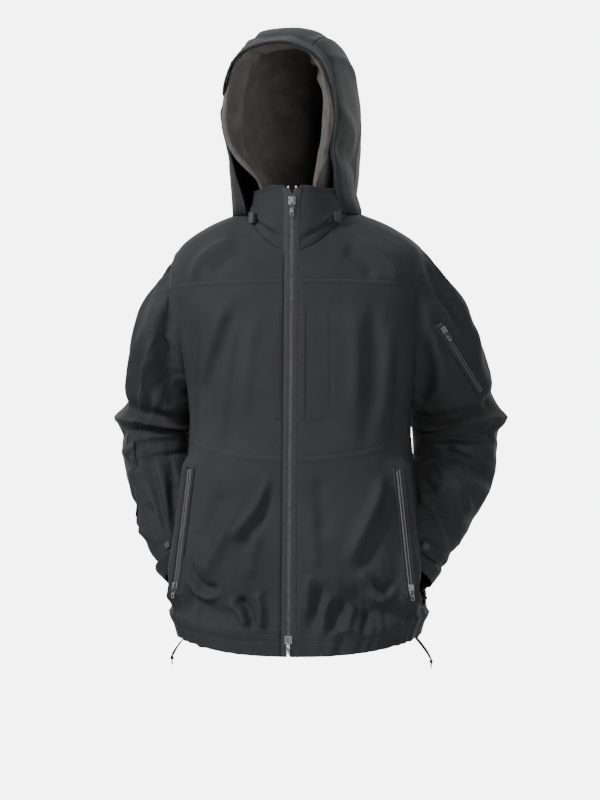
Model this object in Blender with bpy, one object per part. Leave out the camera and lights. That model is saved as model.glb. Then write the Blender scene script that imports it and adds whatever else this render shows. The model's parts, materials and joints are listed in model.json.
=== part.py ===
"""Hooded hardshell jacket, hands-in-pockets stance, as separate sewn and moulded pieces.

Metres, +Z up. The jacket faces -Y and the wearer's left is +X. The origin is between the
shoulders at the base of the neck, where the wearer's shoulders carry the jacket.
"""
import math

import bmesh
import bpy
import numpy as np
from mathutils import Matrix, Vector

# ---- driving dimensions -------------------------------------------------------------------
GAP = 0.0004                 # clearance between neighbouring pieces
SHELL = 0.003                # lined shell cloth
FRONT_TOP = (0.034, -0.105)  # z, y of the centre-front line at the collar's top edge
FRONT_HEM = (-0.665, -0.150)
ZIP_TILT = math.atan2(FRONT_TOP[1] - FRONT_HEM[1], FRONT_TOP[0] - FRONT_HEM[0])
BODY_MID_Y = -0.008          # y of the side seams
PANEL_START = 0.0118         # |x| where the front panels start, outside the zip tape
SIDE = 0.25                  # grid parameter of the side seam, measured round from the front
HEM_V, MID_V, YOKE_V = 0.05, 0.42, 0.81
BACK_YOKE_V = 0.70
COLLAR_HIGH = (0.034, 0.030, 0.045)      # collar top z at front, side and back
HOOD_TURN, HOOD_LEAN = math.radians(6), math.radians(3)
HOOD_PIVOT = (0, 0.02, 0)
ZIP_SLIDER_Z = 0.010                     # rest height of the top slider
ZIP_BOTTOM_Z = -0.648
CORD = 0.0025                            # hem drawcord diameter

# Torso rings: v, front z, side z, back z, half width, back y, roundness of the front.
TORSO = np.array([
    (0.00, -0.672, -0.650, -0.662, 0.188, 0.122, 2.5),
    (0.05, -0.635, -0.615, -0.630, 0.197, 0.132, 2.7),
    (0.13, -0.580, -0.560, -0.575, 0.198, 0.138, 2.8),
    (0.25, -0.500, -0.475, -0.490, 0.188, 0.135, 2.7),
    (0.42, -0.381, -0.350, -0.370, 0.172, 0.128, 2.4),
    (0.58, -0.270, -0.270, -0.270, 0.176, 0.130, 2.3),
    (0.70, -0.190, -0.195, -0.190, 0.188, 0.132, 2.3),
    (0.82, -0.107, -0.110, -0.110, 0.200, 0.130, 2.3),
    (0.88, -0.090, -0.060, -0.062, 0.190, 0.120, 2.2),
    (0.94, -0.078, -0.024, -0.022, 0.143, 0.105, 2.1),
    (1.00, -0.065, 0.002, 0.006, 0.080, 0.080, 2.0)])
BACK_ROUNDNESS = 2.3
# Sleeve centre line for the wearer's left arm: t, x, y, z, radius.
SLEEVE = np.array([
    (0.00, 0.120, 0.010, -0.095, 0.080),
    (0.12, 0.163, 0.018, -0.132, 0.079),
    (0.25, 0.194, 0.036, -0.190, 0.074),
    (0.38, 0.220, 0.062, -0.255, 0.071),
    (0.50, 0.238, 0.084, -0.322, 0.068),
    (0.62, 0.236, 0.070, -0.390, 0.063),
    (0.75, 0.216, 0.030, -0.452, 0.056),
    (0.87, 0.190, -0.002, -0.505, 0.050),
    (1.00, 0.165, -0.026, -0.553, 0.045)])
# Hood hoops: base y, lean of the hoop's plane from +Y, reach, half width, pinch at the base.
HOOD = np.array([
    (-0.055, 104, 0.275, 0.094, 0.20),
    (-0.040, 93, 0.285, 0.102, 0.10),
    (-0.020, 78, 0.285, 0.107, 0.04),
    (0.000, 60, 0.262, 0.108, 0.03),
    (0.015, 44, 0.225, 0.106, 0.03),
    (0.030, 28, 0.170, 0.102, 0.03),
    (0.040, 14, 0.115, 0.096, 0.03),
    (0.045, 2, 0.074, 0.090, 0.03)])
HOOD_BASE_Z, HOOD_SQUARENESS = 0.006, 2.7
HOOD_SINK, BRIM_DROP, BRIM_REACH = 0.006, 0.019, 0.32
CUFF_T, FOREARM_T, HEAD_T = 0.93, 0.50, 0.24
ARM_REST_Z, ARM_REST_FADE, ARM_ROOM = -0.225, 0.08, 0.017   # where the arm presses the body


def curve_through(keys, rows, t):
    """Smooth curve through rows at the parameter values in keys (cubic Hermite)."""
    rows = np.asarray(rows, float)
    slope = np.gradient(rows, keys, axis=0)
    i = int(np.clip(np.searchsorted(keys, t) - 1, 0, len(keys) - 2))
    h = keys[i + 1] - keys[i]
    s = (t - keys[i]) / h
    return ((2 * s**3 - 3 * s**2 + 1) * rows[i] + (s**3 - 2 * s**2 + s) * h * slope[i]
            + (3 * s**2 - 2 * s**3) * rows[i + 1] + (s**3 - s**2) * h * slope[i + 1])


def front_y(z):
    """The centre-front line is straight, so that the zip sliders run true."""
    return FRONT_TOP[1] + (z - FRONT_TOP[0]) * math.tan(ZIP_TILT)


def signed_power(value, power):
    return math.copysign(abs(value) ** power, value)


def sleeve_centre(t, side):
    row = curve_through(SLEEVE[:, 0], SLEEVE[:, 1:], t)
    return Vector((side * row[0], row[1], row[2])), row[3]


def sleeve_frame(t, side):
    """Centre, radius, outward direction and forward direction of the sleeve at t."""
    centre, radius = sleeve_centre(t, side)
    ahead, _ = sleeve_centre(min(t + 0.01, 1.0), side)
    behind, _ = sleeve_centre(max(t - 0.01, 0.0), side)
    along = (ahead - behind).normalized()
    outward = Vector((side, 0, 0))
    outward = (outward - along * outward.dot(along)).normalized()
    forward = along.cross(outward) * side
    return centre, radius, outward, forward


def sleeve_point(t, w, side, inset=0.0):
    """Point on the sleeve: w runs round from the outside (0) by the front (0.25)."""
    centre, radius, outward, forward = sleeve_frame(t, side)
    turn = 2 * math.pi * w
    reach = radius - inset
    return centre + outward * (reach * math.cos(turn)) + forward * (reach * math.sin(turn))


ARM_PATH = [sleeve_centre(0.22 + 0.04 * i, 1) for i in range(20)]
ARM_PATH += [(ARM_PATH[-1][0] + Vector((-0.006, -0.006, -0.012)) * i, 0.046) for i in (1, 2)]


def clear_of_forearm(point):
    """Move a torso point off the arm that rests against the body's side."""
    share = min(max((ARM_REST_Z - point.z) / ARM_REST_FADE, 0.0), 1.0)
    moved = Vector((abs(point.x), point.y, point.z))
    for centre, radius in ARM_PATH if share > 0 else ():
        away = moved - centre
        lack = radius + ARM_ROOM - away.length
        if lack > 0:
            push = Vector((-0.85, away.y / (radius + ARM_ROOM), 0)).normalized()
            moved += push * lack * share
    return Vector((math.copysign(moved.x, point.x), moved.y, moved.z))


def torso_point(u, v):
    """Outer face of the torso: u runs round from the front by the wearer's left."""
    row = curve_through(TORSO[:, 0], TORSO[:, 1:], v)
    z_front, z_side, z_back, half, back, power = row
    if math.cos(2 * math.pi * u) <= 0:
        power = BACK_ROUNDNESS
    turn = 2 * math.pi * u
    c, s = math.cos(turn), math.sin(turn)
    x = half * signed_power(s, 2 / power)
    face, z_face = (front_y(z_front), z_front) if c > 0 else (back, z_back)
    y = BODY_MID_Y + (face - BODY_MID_Y) * abs(c) ** (2 / power)
    z = z_side + (z_face - z_side) * c * c
    if c > 0:
        y += (front_y(z) - front_y(z_face)) * c * c
    return clear_of_forearm(Vector((x, y, z)))


def normal_of(surface, p, q, flip):
    """Outward normal of a surface by small differences."""
    step = 1e-3
    along = surface(p + step, q) - surface(p - step, q)
    across = surface(p, q + step) - surface(p, q - step)
    return (along.cross(across) * flip).normalized()


def new_object(name, bm, colour, roughness=0.6, metallic=0.0, smooth=True):
    mesh = bpy.data.meshes.new(name)
    bmesh.ops.recalc_face_normals(bm, faces=bm.faces)
    bm.to_mesh(mesh)
    bm.free()
    return finish_object(name, mesh, colour, roughness, metallic, smooth)


def finish_object(name, data, colour, roughness=0.6, metallic=0.0, smooth=False):
    piece = bpy.data.objects.new(name, data)
    bpy.context.collection.objects.link(piece)
    material = bpy.data.materials.new(name)
    material.use_nodes = True
    shader = material.node_tree.nodes["Principled BSDF"]
    shader.inputs["Base Color"].default_value = (*colour, 1)
    shader.inputs["Roughness"].default_value = roughness
    shader.inputs["Metallic"].default_value = metallic
    data.materials.append(material)
    if smooth:
        data.shade_smooth()
        data.set_sharp_from_angle(angle=math.radians(40))
    return piece


CLOTH = (0.040, 0.041, 0.043)
TAPE = (0.020, 0.020, 0.022)
FLEECE = (0.075, 0.070, 0.068)
TRIM = (0.015, 0.015, 0.016)
METAL = (0.10, 0.10, 0.105)


def slab(name, outer, inner, colour=CLOTH, wrap=False, roughness=0.6):
    """Closed sheet between two grids of points; wrap joins the first and last columns."""
    bm = bmesh.new()
    layers = [[[bm.verts.new(p) for p in row] for row in grid] for grid in (outer, inner)]
    rows, columns = len(outer), len(outer[0])
    spans = columns if wrap else columns - 1
    for index, grid in enumerate(layers):
        for i in range(rows - 1):
            for j in range(spans):
                k = (j + 1) % columns
                quad = [grid[i][j], grid[i][k], grid[i + 1][k], grid[i + 1][j]]
                bm.faces.new(quad if index == 0 else quad[::-1])
    top, low = layers
    for i in (0, rows - 1):
        for j in range(spans):
            k = (j + 1) % columns
            bm.faces.new([top[i][j], low[i][j], low[i][k], top[i][k]])
    if not wrap:
        for j in (0, columns - 1):
            for i in range(rows - 1):
                bm.faces.new([top[i][j], top[i + 1][j], low[i + 1][j], low[i][j]])
    return new_object(name, bm, colour, roughness)


def steps(first, last, count):
    return [first + (last - first) * i / count for i in range(count + 1)]


# ---- body shell ---------------------------------------------------------------------------
TORSO_ROWS = (0, 0.05, 0.09, 0.13, 0.19, 0.25, 0.31, 0.37, 0.42, 0.50, 0.58, 0.64, 0.70,
              0.76, 0.81, 0.85, 0.88, 0.91, 0.94, 0.97, 1.0)
SEAM_U, SEAM_V = 0.0003, 0.0009
CORE_ROOM = 0.0008            # the sleeves end this far outside the body shell


def front_start(v):
    """Grid parameter where the front panel starts beside the zip tape."""
    row = curve_through(TORSO[:, 0], TORSO[:, 1:], v)
    return math.asin((PANEL_START / row[3]) ** (row[5] / 2)) / (2 * math.pi)


def torso_face(u, v, inset):
    point = torso_point(u, v)
    if inset == 0:
        return point
    v_mid = min(max(v, 0.002), 0.998)
    return point - normal_of(torso_point, u, v_mid, 1) * inset


def torso_rows(low, high):
    inner = [v for v in TORSO_ROWS if low + 0.004 < v < high - 0.004]
    edge = SEAM_V if low > 0 else 0
    return [low + edge] + inner + [high - SEAM_V]


def front_grid(side, low, high, inset, shares=None):
    """Grid over one front half between two seams; shares picks the columns."""
    grid = []
    for v in torso_rows(low, high):
        first = front_start(v)
        row = [first + (SIDE - SEAM_U - first) * share for share in shares or steps(0, 1, 10)]
        grid.append([torso_face(u if side > 0 else 1 - u, v, inset) for u in row])
    return grid


def back_grid(low, high, inset):
    columns = steps(SIDE + SEAM_U, 1 - SIDE - SEAM_U, 18)
    return [[torso_face(u, v, inset) for u in columns] for v in torso_rows(low, high)]


def hem_grid(inset):
    """The hem band runs from one side of the zip round the back to the other."""
    grid = []
    for v in (0.0, 0.025, HEM_V - SEAM_V):
        first = front_start(v)
        columns = [first + (SIDE - first) * share for share in steps(0, 1, 10)]
        columns += steps(SIDE, 1 - SIDE, 18)[1:] + [1 - u for u in columns[-2::-1]]
        grid.append([torso_face(u, v, inset) for u in columns])
    return grid


def torso_core():
    """Filled torso, a hair bigger than the shell, that trims the sleeves."""
    bm = bmesh.new()
    rings = []
    for v in TORSO_ROWS:
        first = front_start(v)
        columns = [first + (SIDE - first) * share for share in steps(0, 1, 10)]
        columns += steps(SIDE, 1 - SIDE, 18)[1:] + [1 - u for u in columns[-2::-1]]
        rings.append([bm.verts.new(torso_face(u, v, -CORE_ROOM)) for u in columns])
    for low, high in zip(rings, rings[1:]):
        for j in range(len(low)):
            k = (j + 1) % len(low)
            bm.faces.new([low[j], low[k], high[k], high[j]])
    bm.faces.new(rings[0][::-1])
    bm.faces.new(rings[-1])
    return guide("torso_core", bm)


def guide(name, bm):
    """A cutter: it shapes other pieces and is no piece itself."""
    bmesh.ops.recalc_face_normals(bm, faces=bm.faces)
    mesh = bpy.data.meshes.new(name)
    bm.to_mesh(mesh)
    bm.free()
    cutter = bpy.data.objects.new(name, mesh)
    bpy.context.collection.objects.link(cutter)
    cutter.hide_render = True
    cutter.display_type = 'WIRE'
    return cutter


def boolean(piece, cutter, operation='DIFFERENCE', solver='EXACT'):
    step = piece.modifiers.new(cutter.name, 'BOOLEAN')
    step.operation = operation
    step.object = cutter
    step.solver = solver


def arm_opening(side):
    """Filled sleeve, a hair bigger than the real one, that cuts the armhole."""
    bm = bmesh.new()
    inset = -0.0014
    rings = [[bm.verts.new(sleeve_point(t, j / 20, side, inset)) for j in range(20)]
             for t in steps(0.0, 0.45, 7)]
    for low, high in zip(rings, rings[1:]):
        for j in range(20):
            bm.faces.new([low[j], low[(j + 1) % 20], high[(j + 1) % 20], high[j]])
    bm.faces.new(rings[0][::-1])
    bm.faces.new(rings[-1])
    return guide("arm_opening", bm)


def collar_point(u, rise, inset=0.0):
    """Outer face of the standing collar, from the neck seam up."""
    turn = 2 * math.pi * u
    c, s = math.cos(turn), math.sin(turn)
    foot = curve_through(TORSO[:, 0], TORSO[:, 1:], 1.0)
    high_z = COLLAR_HIGH[1] + ((COLLAR_HIGH[0] if c > 0 else COLLAR_HIGH[2]) - COLLAR_HIGH[1]) * c * c
    low_z = foot[1] + ((foot[0] if c > 0 else foot[2]) - foot[1]) * c * c
    z = low_z + (high_z - low_z) * rise
    half = foot[3] + (0.071 - foot[3]) * rise - inset
    back = foot[4] + (0.072 - foot[4]) * rise
    face = front_y(z) if c > 0 else back
    y = BODY_MID_Y + (face - BODY_MID_Y - math.copysign(inset, face)) * abs(c)
    return Vector((half * s, y, z))


def collar_half(name, side):
    def grid(inset):
        rows = []
        for rise in (0.006, 0.35, 0.7, 1.0):
            first = math.asin(PANEL_START / (0.080 - 0.009 * rise - inset)) / (2 * math.pi)
            columns = [first + (0.4997 - first) * share for share in steps(0, 1, 12)]
            rows.append([collar_point(u if side > 0 else 1 - u, rise, inset) for u in columns])
        return rows
    return slab(name, grid(0), grid(SHELL))


def build_body():
    openings = {side: arm_opening(side) for side in (1, -1)}
    for side, word in ((1, "left"), (-1, "right")):
        pieces = [
            slab(f"{word}_lower_front", front_grid(side, HEM_V, MID_V, 0),
                 front_grid(side, HEM_V, MID_V, SHELL)),
            slab(f"{word}_chest_panel", front_grid(side, MID_V, YOKE_V, 0),
                 front_grid(side, MID_V, YOKE_V, SHELL)),
            slab(f"{word}_yoke", front_grid(side, YOKE_V, 1.0, 0),
                 front_grid(side, YOKE_V, 1.0, SHELL))]
        for piece in pieces:
            boolean(piece, openings[side])
        collar_half(f"{word}_collar", side)
    back = slab("back_panel", back_grid(HEM_V, BACK_YOKE_V, 0), back_grid(HEM_V, BACK_YOKE_V, SHELL))
    yoke = slab("back_yoke", back_grid(BACK_YOKE_V, 1.0, 0), back_grid(BACK_YOKE_V, 1.0, SHELL))
    for piece in (back, yoke):
        for side in (1, -1):
            boolean(piece, openings[side], solver='MANIFOLD')
    slab("hem_band", hem_grid(0), hem_grid(0.0036))


# ---- sleeves ------------------------------------------------------------------------------
def sleeve_tube(name, side, low, high, rows, wall=SHELL):
    seam = 0.0004
    levels = steps(low + seam, high - seam, rows)

    def grid(inset):
        return [[sleeve_point(t, j / 18, side, inset) for j in range(18)] for t in levels]
    return slab(name, grid(0), grid(wall), wrap=True)


def build_sleeves(core):
    for side, word in ((1, "left"), (-1, "right")):
        head = sleeve_tube(f"{word}_sleeve_head", side, 0.0, HEAD_T, 3)
        upper = sleeve_tube(f"{word}_upper_sleeve", side, HEAD_T, FOREARM_T, 4)
        for piece in (head, upper):
            boolean(piece, core)
        sleeve_tube(f"{word}_forearm", side, FOREARM_T, CUFF_T - 0.10, 5)
        sleeve_tube(f"{word}_cuff", side, CUFF_T - 0.10, 1.0, 3, wall=0.0036)


# ---- hood ---------------------------------------------------------------------------------
def hood_pose(point):
    """Turn and lean the upright hood, more the higher the point is."""
    share = min(max(point.z / 0.08, 0.0), 1.0)
    turn = Matrix.Rotation(-HOOD_TURN * share, 3, 'Z')
    lean = Matrix.Rotation(-HOOD_LEAN * share, 3, 'Y')
    return lean @ turn @ point


def hood_point(s, t, inset=0.0):
    """Outer face of the hood: s runs from the face opening to the nape, t over the top."""
    base_y, angle, reach, half, pinch = curve_through(np.linspace(0, 1, 8), HOOD, s)
    turn = math.pi * (t - 0.5)
    c, k = max(math.cos(turn), 0.0), math.sin(turn)
    across = (half * (1 - pinch * (1 - c) ** 2) - inset) * signed_power(k, 2 / HOOD_SQUARENESS)
    out = (reach - inset) * c ** (2 / HOOD_SQUARENESS)
    tilt = math.radians(angle)
    drop = (HOOD_SINK + BRIM_DROP * max(1 - s / BRIM_REACH, 0.0) ** 2) * c ** 1.5
    upright = Vector((across, base_y + out * math.cos(tilt), HOOD_BASE_Z + out * math.sin(tilt) - drop))
    return hood_pose(upright)


def hood_slab(name, s_range, t_range, rows, columns, inset=0.0, wall=0.0025, colour=CLOTH):
    levels = steps(s_range[0], s_range[1], rows)
    spans = steps(t_range[0], t_range[1], columns)
    outer = [[hood_point(s, t, inset) for t in spans] for s in levels]
    inner = [[hood_point(s, t, inset + wall) for t in spans] for s in levels]
    return slab(name, outer, inner, colour)


def lining_inset(s):
    """The lining's edge stands in from the hood's rim as a soft band."""
    return 0.007 + 0.014 * max(1 - s / 0.10, 0.0) ** 2


def build_hood():
    fold_s, seam = 0.43, 0.0012
    hood_slab("hood_crown", (0, fold_s), (0.36, 0.64), 5, 6)
    hood_slab("right_hood_side", (0, fold_s), (0.0, 0.36 - seam), 5, 7)
    hood_slab("left_hood_side", (0, fold_s), (0.64 + seam, 1.0), 5, 7)
    hood_slab("hood_gusset", (fold_s + 0.002, 1), (0.0, 1.0), 7, 18)
    spans = steps(0.10, 0.90, 18)
    levels = (0.0, 0.04, 0.09, 0.18, 0.30, fold_s - 0.01)
    slab("hood_lining", [[hood_point(s, t, lining_inset(s)) for t in spans] for s in levels],
         [[hood_point(s, t, lining_inset(s) + 0.0035) for t in spans] for s in levels], FLEECE, False, 0.95)
    build_brim()


def build_brim():
    spans = steps(0.20, 0.80, 14)

    def grid(inset):
        rows = []
        for share in (0.0, 0.5, 1.0):
            row = []
            for t in spans:
                depth = 0.004 + 0.024 * max(math.sin(math.pi * (t - 0.2) / 0.6), 0) ** 0.8
                forward = Vector((0, -0.94, -0.34)) * (depth * share + 0.0006)
                row.append(hood_point(0.0, t, inset) + forward)
            rows.append(row)
        return rows
    slab("hood_brim", grid(-0.0006), grid(0.0030))


# ---- zips ---------------------------------------------------------------------------------
# A zip frame has x across the zip, -y out of the cloth and z along it.
MAIN_FRAME = Matrix.Translation((0, front_y(0), 0)) @ Matrix.Rotation(-ZIP_TILT, 4, 'X')
BRIDGE_OUT = 0.0035          # bridge height over the slider's top plate
PULL_EYE = 0.0026            # the pull's crossbar hangs this far below the slider's middle


def prism(name, frame, outline, plane, low, high, colour=TRIM, roughness=0.5, metallic=0.0):
    """Closed prism on an outline in one plane of a frame ('xy', 'xz' or 'yz')."""
    places = {'xy': lambda a, b, c: (a, b, c), 'xz': lambda a, b, c: (a, c, b),
              'yz': lambda a, b, c: (c, a, b)}[plane]
    bm = bmesh.new()
    ends = [[bm.verts.new(places(a, b, c)) for a, b in outline] for c in (low, high)]
    bm.faces.new(ends[0])
    bm.faces.new(ends[1][::-1])
    for i in range(len(outline)):
        k = (i + 1) % len(outline)
        bm.faces.new([ends[0][i], ends[0][k], ends[1][k], ends[1][i]])
    piece = new_object(name, bm, colour, roughness, metallic, smooth=False)
    piece.matrix_world = frame
    return piece


def rectangle(a, b, c, d):
    return [(a, c), (b, c), (b, d), (a, d)]


def round_outline(half_a, half_b, radius, count=3):
    """Rectangle with round corners, anticlockwise."""
    points = []
    for quarter in range(4):
        corner = (half_a - radius) * (1 if quarter in (0, 3) else -1)
        other = (half_b - radius) * (1 if quarter < 2 else -1)
        for i in range(count + 1):
            turn = math.pi / 2 * (quarter + i / count)
            points.append((corner + radius * math.cos(turn), other + radius * math.sin(turn)))
    return points


def holed_plate(name, frame, outlines, half_thick, colour=METAL, metallic=0.8):
    """Flat plate with holes in a frame's x-z plane."""
    curve = bpy.data.curves.new(name, 'CURVE')
    curve.dimensions = '2D'
    curve.fill_mode = 'BOTH'
    curve.extrude = half_thick
    for outline in outlines:
        spline = curve.splines.new('POLY')
        spline.points.add(len(outline) - 1)
        for point, (a, b) in zip(spline.points, outline):
            point.co = (a, b, 0, 1)
        spline.use_cyclic_u = True
    piece = finish_object(name, curve, colour, 0.35, metallic)
    piece.matrix_world = frame @ Matrix.Rotation(math.pi / 2, 4, 'X')
    return piece


def shifted(outline, a, b):
    return [(x + a, z + b) for x, z in outline]


def slider_and_pull(word, frame, z, inner, size=1.0, flip=1):
    """Zip slider (an I section with a bridge) and the pull that swings on the bridge.

    inner is the half gap between its plates; flip -1 hangs the pull from the other end.
    """
    plate, web = 0.0014, 0.0003
    wide = 0.0055 * size
    section = [(-wide, -inner - plate), (wide, -inner - plate), (wide, -inner), (web, -inner),
               (web, inner), (wide, inner), (wide, inner + plate), (-wide, inner + plate),
               (-wide, inner), (-web, inner), (-web, -inner), (-wide, -inner)]
    here = frame @ Matrix.Translation((0, 0, z))
    slider = prism(f"{word}_slider", here, section, 'xy', -0.0060 * size, 0.0060 * size, METAL, 0.35, 0.8)
    top = -inner - plate
    arch = [(top + 0.0004, -0.005), (top - BRIDGE_OUT, -0.004), (top - BRIDGE_OUT, 0.004),
            (top + 0.0004, 0.005), (top + 0.0004, 0.0035), (top - 0.0020, 0.0035),
            (top - 0.0020, -0.0035), (top + 0.0004, -0.0035)]
    bridge = prism(f"{word}_bridge", here, arch, 'yz', -0.0014, 0.0014)
    bridge.hide_render = True
    bridge.display_type = 'WIRE'
    boolean(slider, bridge, 'UNION')
    hinge = here @ Matrix.Translation((0, top - 0.0010, -PULL_EYE * flip))
    length = 0.022 * size
    body = shifted(round_outline(0.0028, length / 2, 0.0020), 0, (0.0005 - length / 2) * flip)
    eye = shifted(round_outline(0.0019, 0.0042, 0.0006, 2), 0, -0.0047 * flip)
    grip = shifted(round_outline(0.0016, 0.0030 * size, 0.0008, 2), 0, (0.0042 - length) * flip)
    holed_plate(f"{word}_pull", hinge, [body, eye, grip], 0.0005)


def build_main_zip():
    for side, word in ((1, "left"), (-1, "right")):
        half = [(0.0006, -0.0012), (0.0029, -0.0012), (0.0029, 0.0), (0.0112, 0.0),
                (0.0112, 0.0008), (0.0029, 0.0008), (0.0029, 0.0016), (0.0006, 0.0016)]
        outline = [(side * x, y) for x, y in half]
        prism(f"{word}_zip_half", MAIN_FRAME, outline, 'xy', -0.660, 0.0320, TAPE, 0.3)
    slider_and_pull("top", MAIN_FRAME, ZIP_SLIDER_Z, 0.0020)
    slider_and_pull("bottom", MAIN_FRAME, ZIP_BOTTOM_Z, 0.0020)
    prism("storm_flap", MAIN_FRAME, rectangle(-0.018, 0.012, 0.0046, 0.0060), 'xy', -0.655, -0.090, CLOTH)


def strip_frame(top, foot, outward):
    """Zip frame whose middle is halfway between two points."""
    along = (top - foot).normalized()
    inward = -(outward - along * outward.dot(along)).normalized()
    across = inward.cross(along)
    frame = Matrix((across, inward, along)).transposed().to_4x4()
    frame.translation = (top + foot) / 2
    return frame


def lifted(frame, half_length, surface_points, room):
    """Raise a strip until it stands clear of the cloth under it."""
    back = frame.inverted()
    near = [(back @ p).y for p in surface_points if abs((back @ p).z) < half_length + 0.01]
    return frame @ Matrix.Translation((0, min(near) - room, 0))


def pocket_zip(word, frame, length, slider_z, half_wide=0.0050):
    tape = [round_outline(half_wide, length / 2, 0.002), round_outline(0.0006, length / 2 - 0.004, 0.0005, 1)]
    holed_plate(f"{word}_zip", frame, tape, 0.0007, TAPE, 0.0)
    slider_and_pull(word, frame, slider_z, 0.0011, 0.8)


def hand_pocket_frame(side):
    top = torso_point(*nearest_torso(side * 0.155, -0.396))
    foot = torso_point(*nearest_torso(side * 0.176, -0.584))
    frame = strip_frame(top, foot, Vector((side * 0.42, -0.90, 0.06)))
    length = (top - foot).length
    samples = [torso_point(*nearest_torso(side * (0.155 + 0.021 * i / 12 + dx), -0.396 - 0.188 * i / 12))
               for i in range(13) for dx in (-0.005, 0, 0.005)]
    return lifted(frame, length / 2, samples, 0.0032), length


def nearest_torso(x, z):
    """Grid parameters of the front torso point at a given x and height."""
    u, v = 0.12, 0.5
    for _ in range(5):
        v = bisect(lambda value: torso_point(u, value).z - z, 0.0, 0.97)
        u = bisect(lambda value: torso_point(value, v).x - abs(x), 0.01, 0.24)
    return (u if x > 0 else 1 - u), v


def bisect(miss, low, high):
    """Where a rising function crosses zero."""
    for _ in range(14):
        middle = (low + high) / 2
        if miss(middle) < 0:
            low = middle
        else:
            high = middle
    return (low + high) / 2


def sleeve_pocket_frame():
    top, foot = sleeve_point(0.20, 0.174, 1), sleeve_point(0.41, 0.114, 1)
    centre = sleeve_centre(0.30, 1)[0]
    frame = strip_frame(top, foot, (top + foot) / 2 - centre)
    samples = [sleeve_point(0.18 + 0.26 * i / 12, 0.06 + 0.16 * j / 10, 1)
               for i in range(13) for j in range(11)]
    back = frame.inverted()
    under = [p for p in samples if abs((back @ p).x) < 0.006]
    length = (top - foot).length
    return lifted(frame, length / 2, under, 0.0032), length


# ---- pockets, tabs and trims --------------------------------------------------------------
def pocket_bag(name, side, x_range, z_range):
    """Flat bag hanging inside the front, clear of the shell."""
    corners = {(x, z): nearest_torso(side * x, z) for x in x_range for z in z_range}
    (u0, v0), (u1, v1) = corners[x_range[0], z_range[0]], corners[x_range[1], z_range[1]]

    def grid(inset):
        return [[torso_face(u, v, inset) for u in steps(u0, u1, 5)] for v in steps(v0, v1, 6)]
    slab(name, grid(0.0075), grid(0.0090), FLEECE)


def chest_welt(word, side):
    frame = MAIN_FRAME @ Matrix.Translation((side * 0.0195, -0.0016, 0))
    prism(f"{word}_chest_welt", frame, rectangle(-0.0035, 0.0035, 0.0, 0.0011), 'xy', -0.319, -0.141, CLOTH)


def cuff_frame(side):
    """Frame on the cuff: x round the cuff, -y outward, z up the sleeve."""
    t, w = 0.925, 0.15
    middle = sleeve_point(t, w, side)
    centre, _, _, _ = sleeve_frame(t, side)
    along = (sleeve_centre(t - 0.02, side)[0] - centre).normalized()
    outward = (middle - centre).normalized()
    frame = Matrix((-outward.cross(along), -outward, along)).transposed().to_4x4()
    frame.translation = middle
    return frame


def build_cuff_tabs():
    for side, word in ((1, "left"), (-1, "right")):
        frame = cuff_frame(side) @ Matrix.Translation((0, -0.0014, 0))
        free = side * -0.017
        hinge = frame @ Matrix.Translation((-free, -0.0008, 0))
        tab = shifted(round_outline(0.0185, 0.0100, 0.004), free * 1.08, 0)
        prism(f"{word}_cuff_tab", hinge, tab, 'xz', -0.0008, 0.0008, CLOTH)
        cap = [(0.0055 * math.cos(a), 0.0055 * math.sin(a)) for a in steps(0, 2 * math.pi, 20)[:-1]]
        prism(f"{word}_snap_cap", hinge, shifted(cap, 1.70 * free, 0), 'xz', -0.0034, -0.0012, METAL, 0.4, 0.7)


def build_hood_adjusters():
    for side, word in ((1, "left"), (-1, "right")):
        outward = Vector((side * 0.72, -0.69, 0.0)).normalized()
        foot = Vector((side * 0.0660, -0.0755, -0.012))
        frame = strip_frame(foot + Vector((0, 0, 0.008)), foot - Vector((0, 0, 0.008)), outward)
        prism(f"{word}_hood_adjuster", frame, round_outline(0.0060, 0.0085, 0.002), 'xz', -0.0014, 0.0014)


def build_hanger():
    loop = round_outline(0.020, 0.004, 0.0015, 2)
    frame = Matrix.Translation((0, 0.0625, 0.018))
    prism("hanger_loop", frame, loop, 'xz', -0.0010, 0.0010, TAPE)


# ---- hem cord -----------------------------------------------------------------------------
CORD_ROUTE = [(0.1720, -0.004, -0.6408), (0.1722, -0.004, -0.6460), (0.1800, -0.0045, -0.6580),
              (0.1900, -0.006, -0.6700), (0.1985, -0.006, -0.6820), (0.2020, -0.003, -0.6885),
              (0.2025, 0.001, -0.6895), (0.2010, 0.005, -0.6870), (0.1950, 0.0065, -0.6760),
              (0.1860, 0.005, -0.6640), (0.1780, 0.004, -0.6540), (0.1722, 0.004, -0.6460),
              (0.1720, 0.004, -0.6408)]


def cord_tube(name, side):
    route = np.array(CORD_ROUTE)
    keys = np.concatenate([[0], np.cumsum(np.linalg.norm(np.diff(route, axis=0), axis=1))])
    count = int(keys[-1] / (2.5 * CORD))
    curve = bpy.data.curves.new(name, 'CURVE')
    curve.dimensions = '3D'
    curve.bevel_depth = CORD / 2
    curve.bevel_resolution = 2
    curve.use_fill_caps = True
    spline = curve.splines.new('POLY')
    spline.points.add(count)
    for i in range(count + 1):
        x, y, z = curve_through(keys, route, keys[-1] * i / count)
        spline.points[i].co = (side * x, y, z, 1)
    finish_object(name, curve, TRIM, 0.7)


def turned(name, place, profile, colour, sides=12):
    """Closed turned piece about z: profile is (radius, height) from foot to top."""
    bm = bmesh.new()
    rings = [[bm.verts.new((r * math.cos(2 * math.pi * j / sides), r * math.sin(2 * math.pi * j / sides), h))
              for j in range(sides)] for r, h in profile]
    for low, high in zip(rings, rings[1:]):
        for j in range(sides):
            bm.faces.new([low[j], low[(j + 1) % sides], high[(j + 1) % sides], high[j]])
    bm.faces.new(rings[0][::-1])
    bm.faces.new(rings[-1])
    piece = new_object(name, bm, colour, 0.5)
    piece.location = place
    return piece


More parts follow.
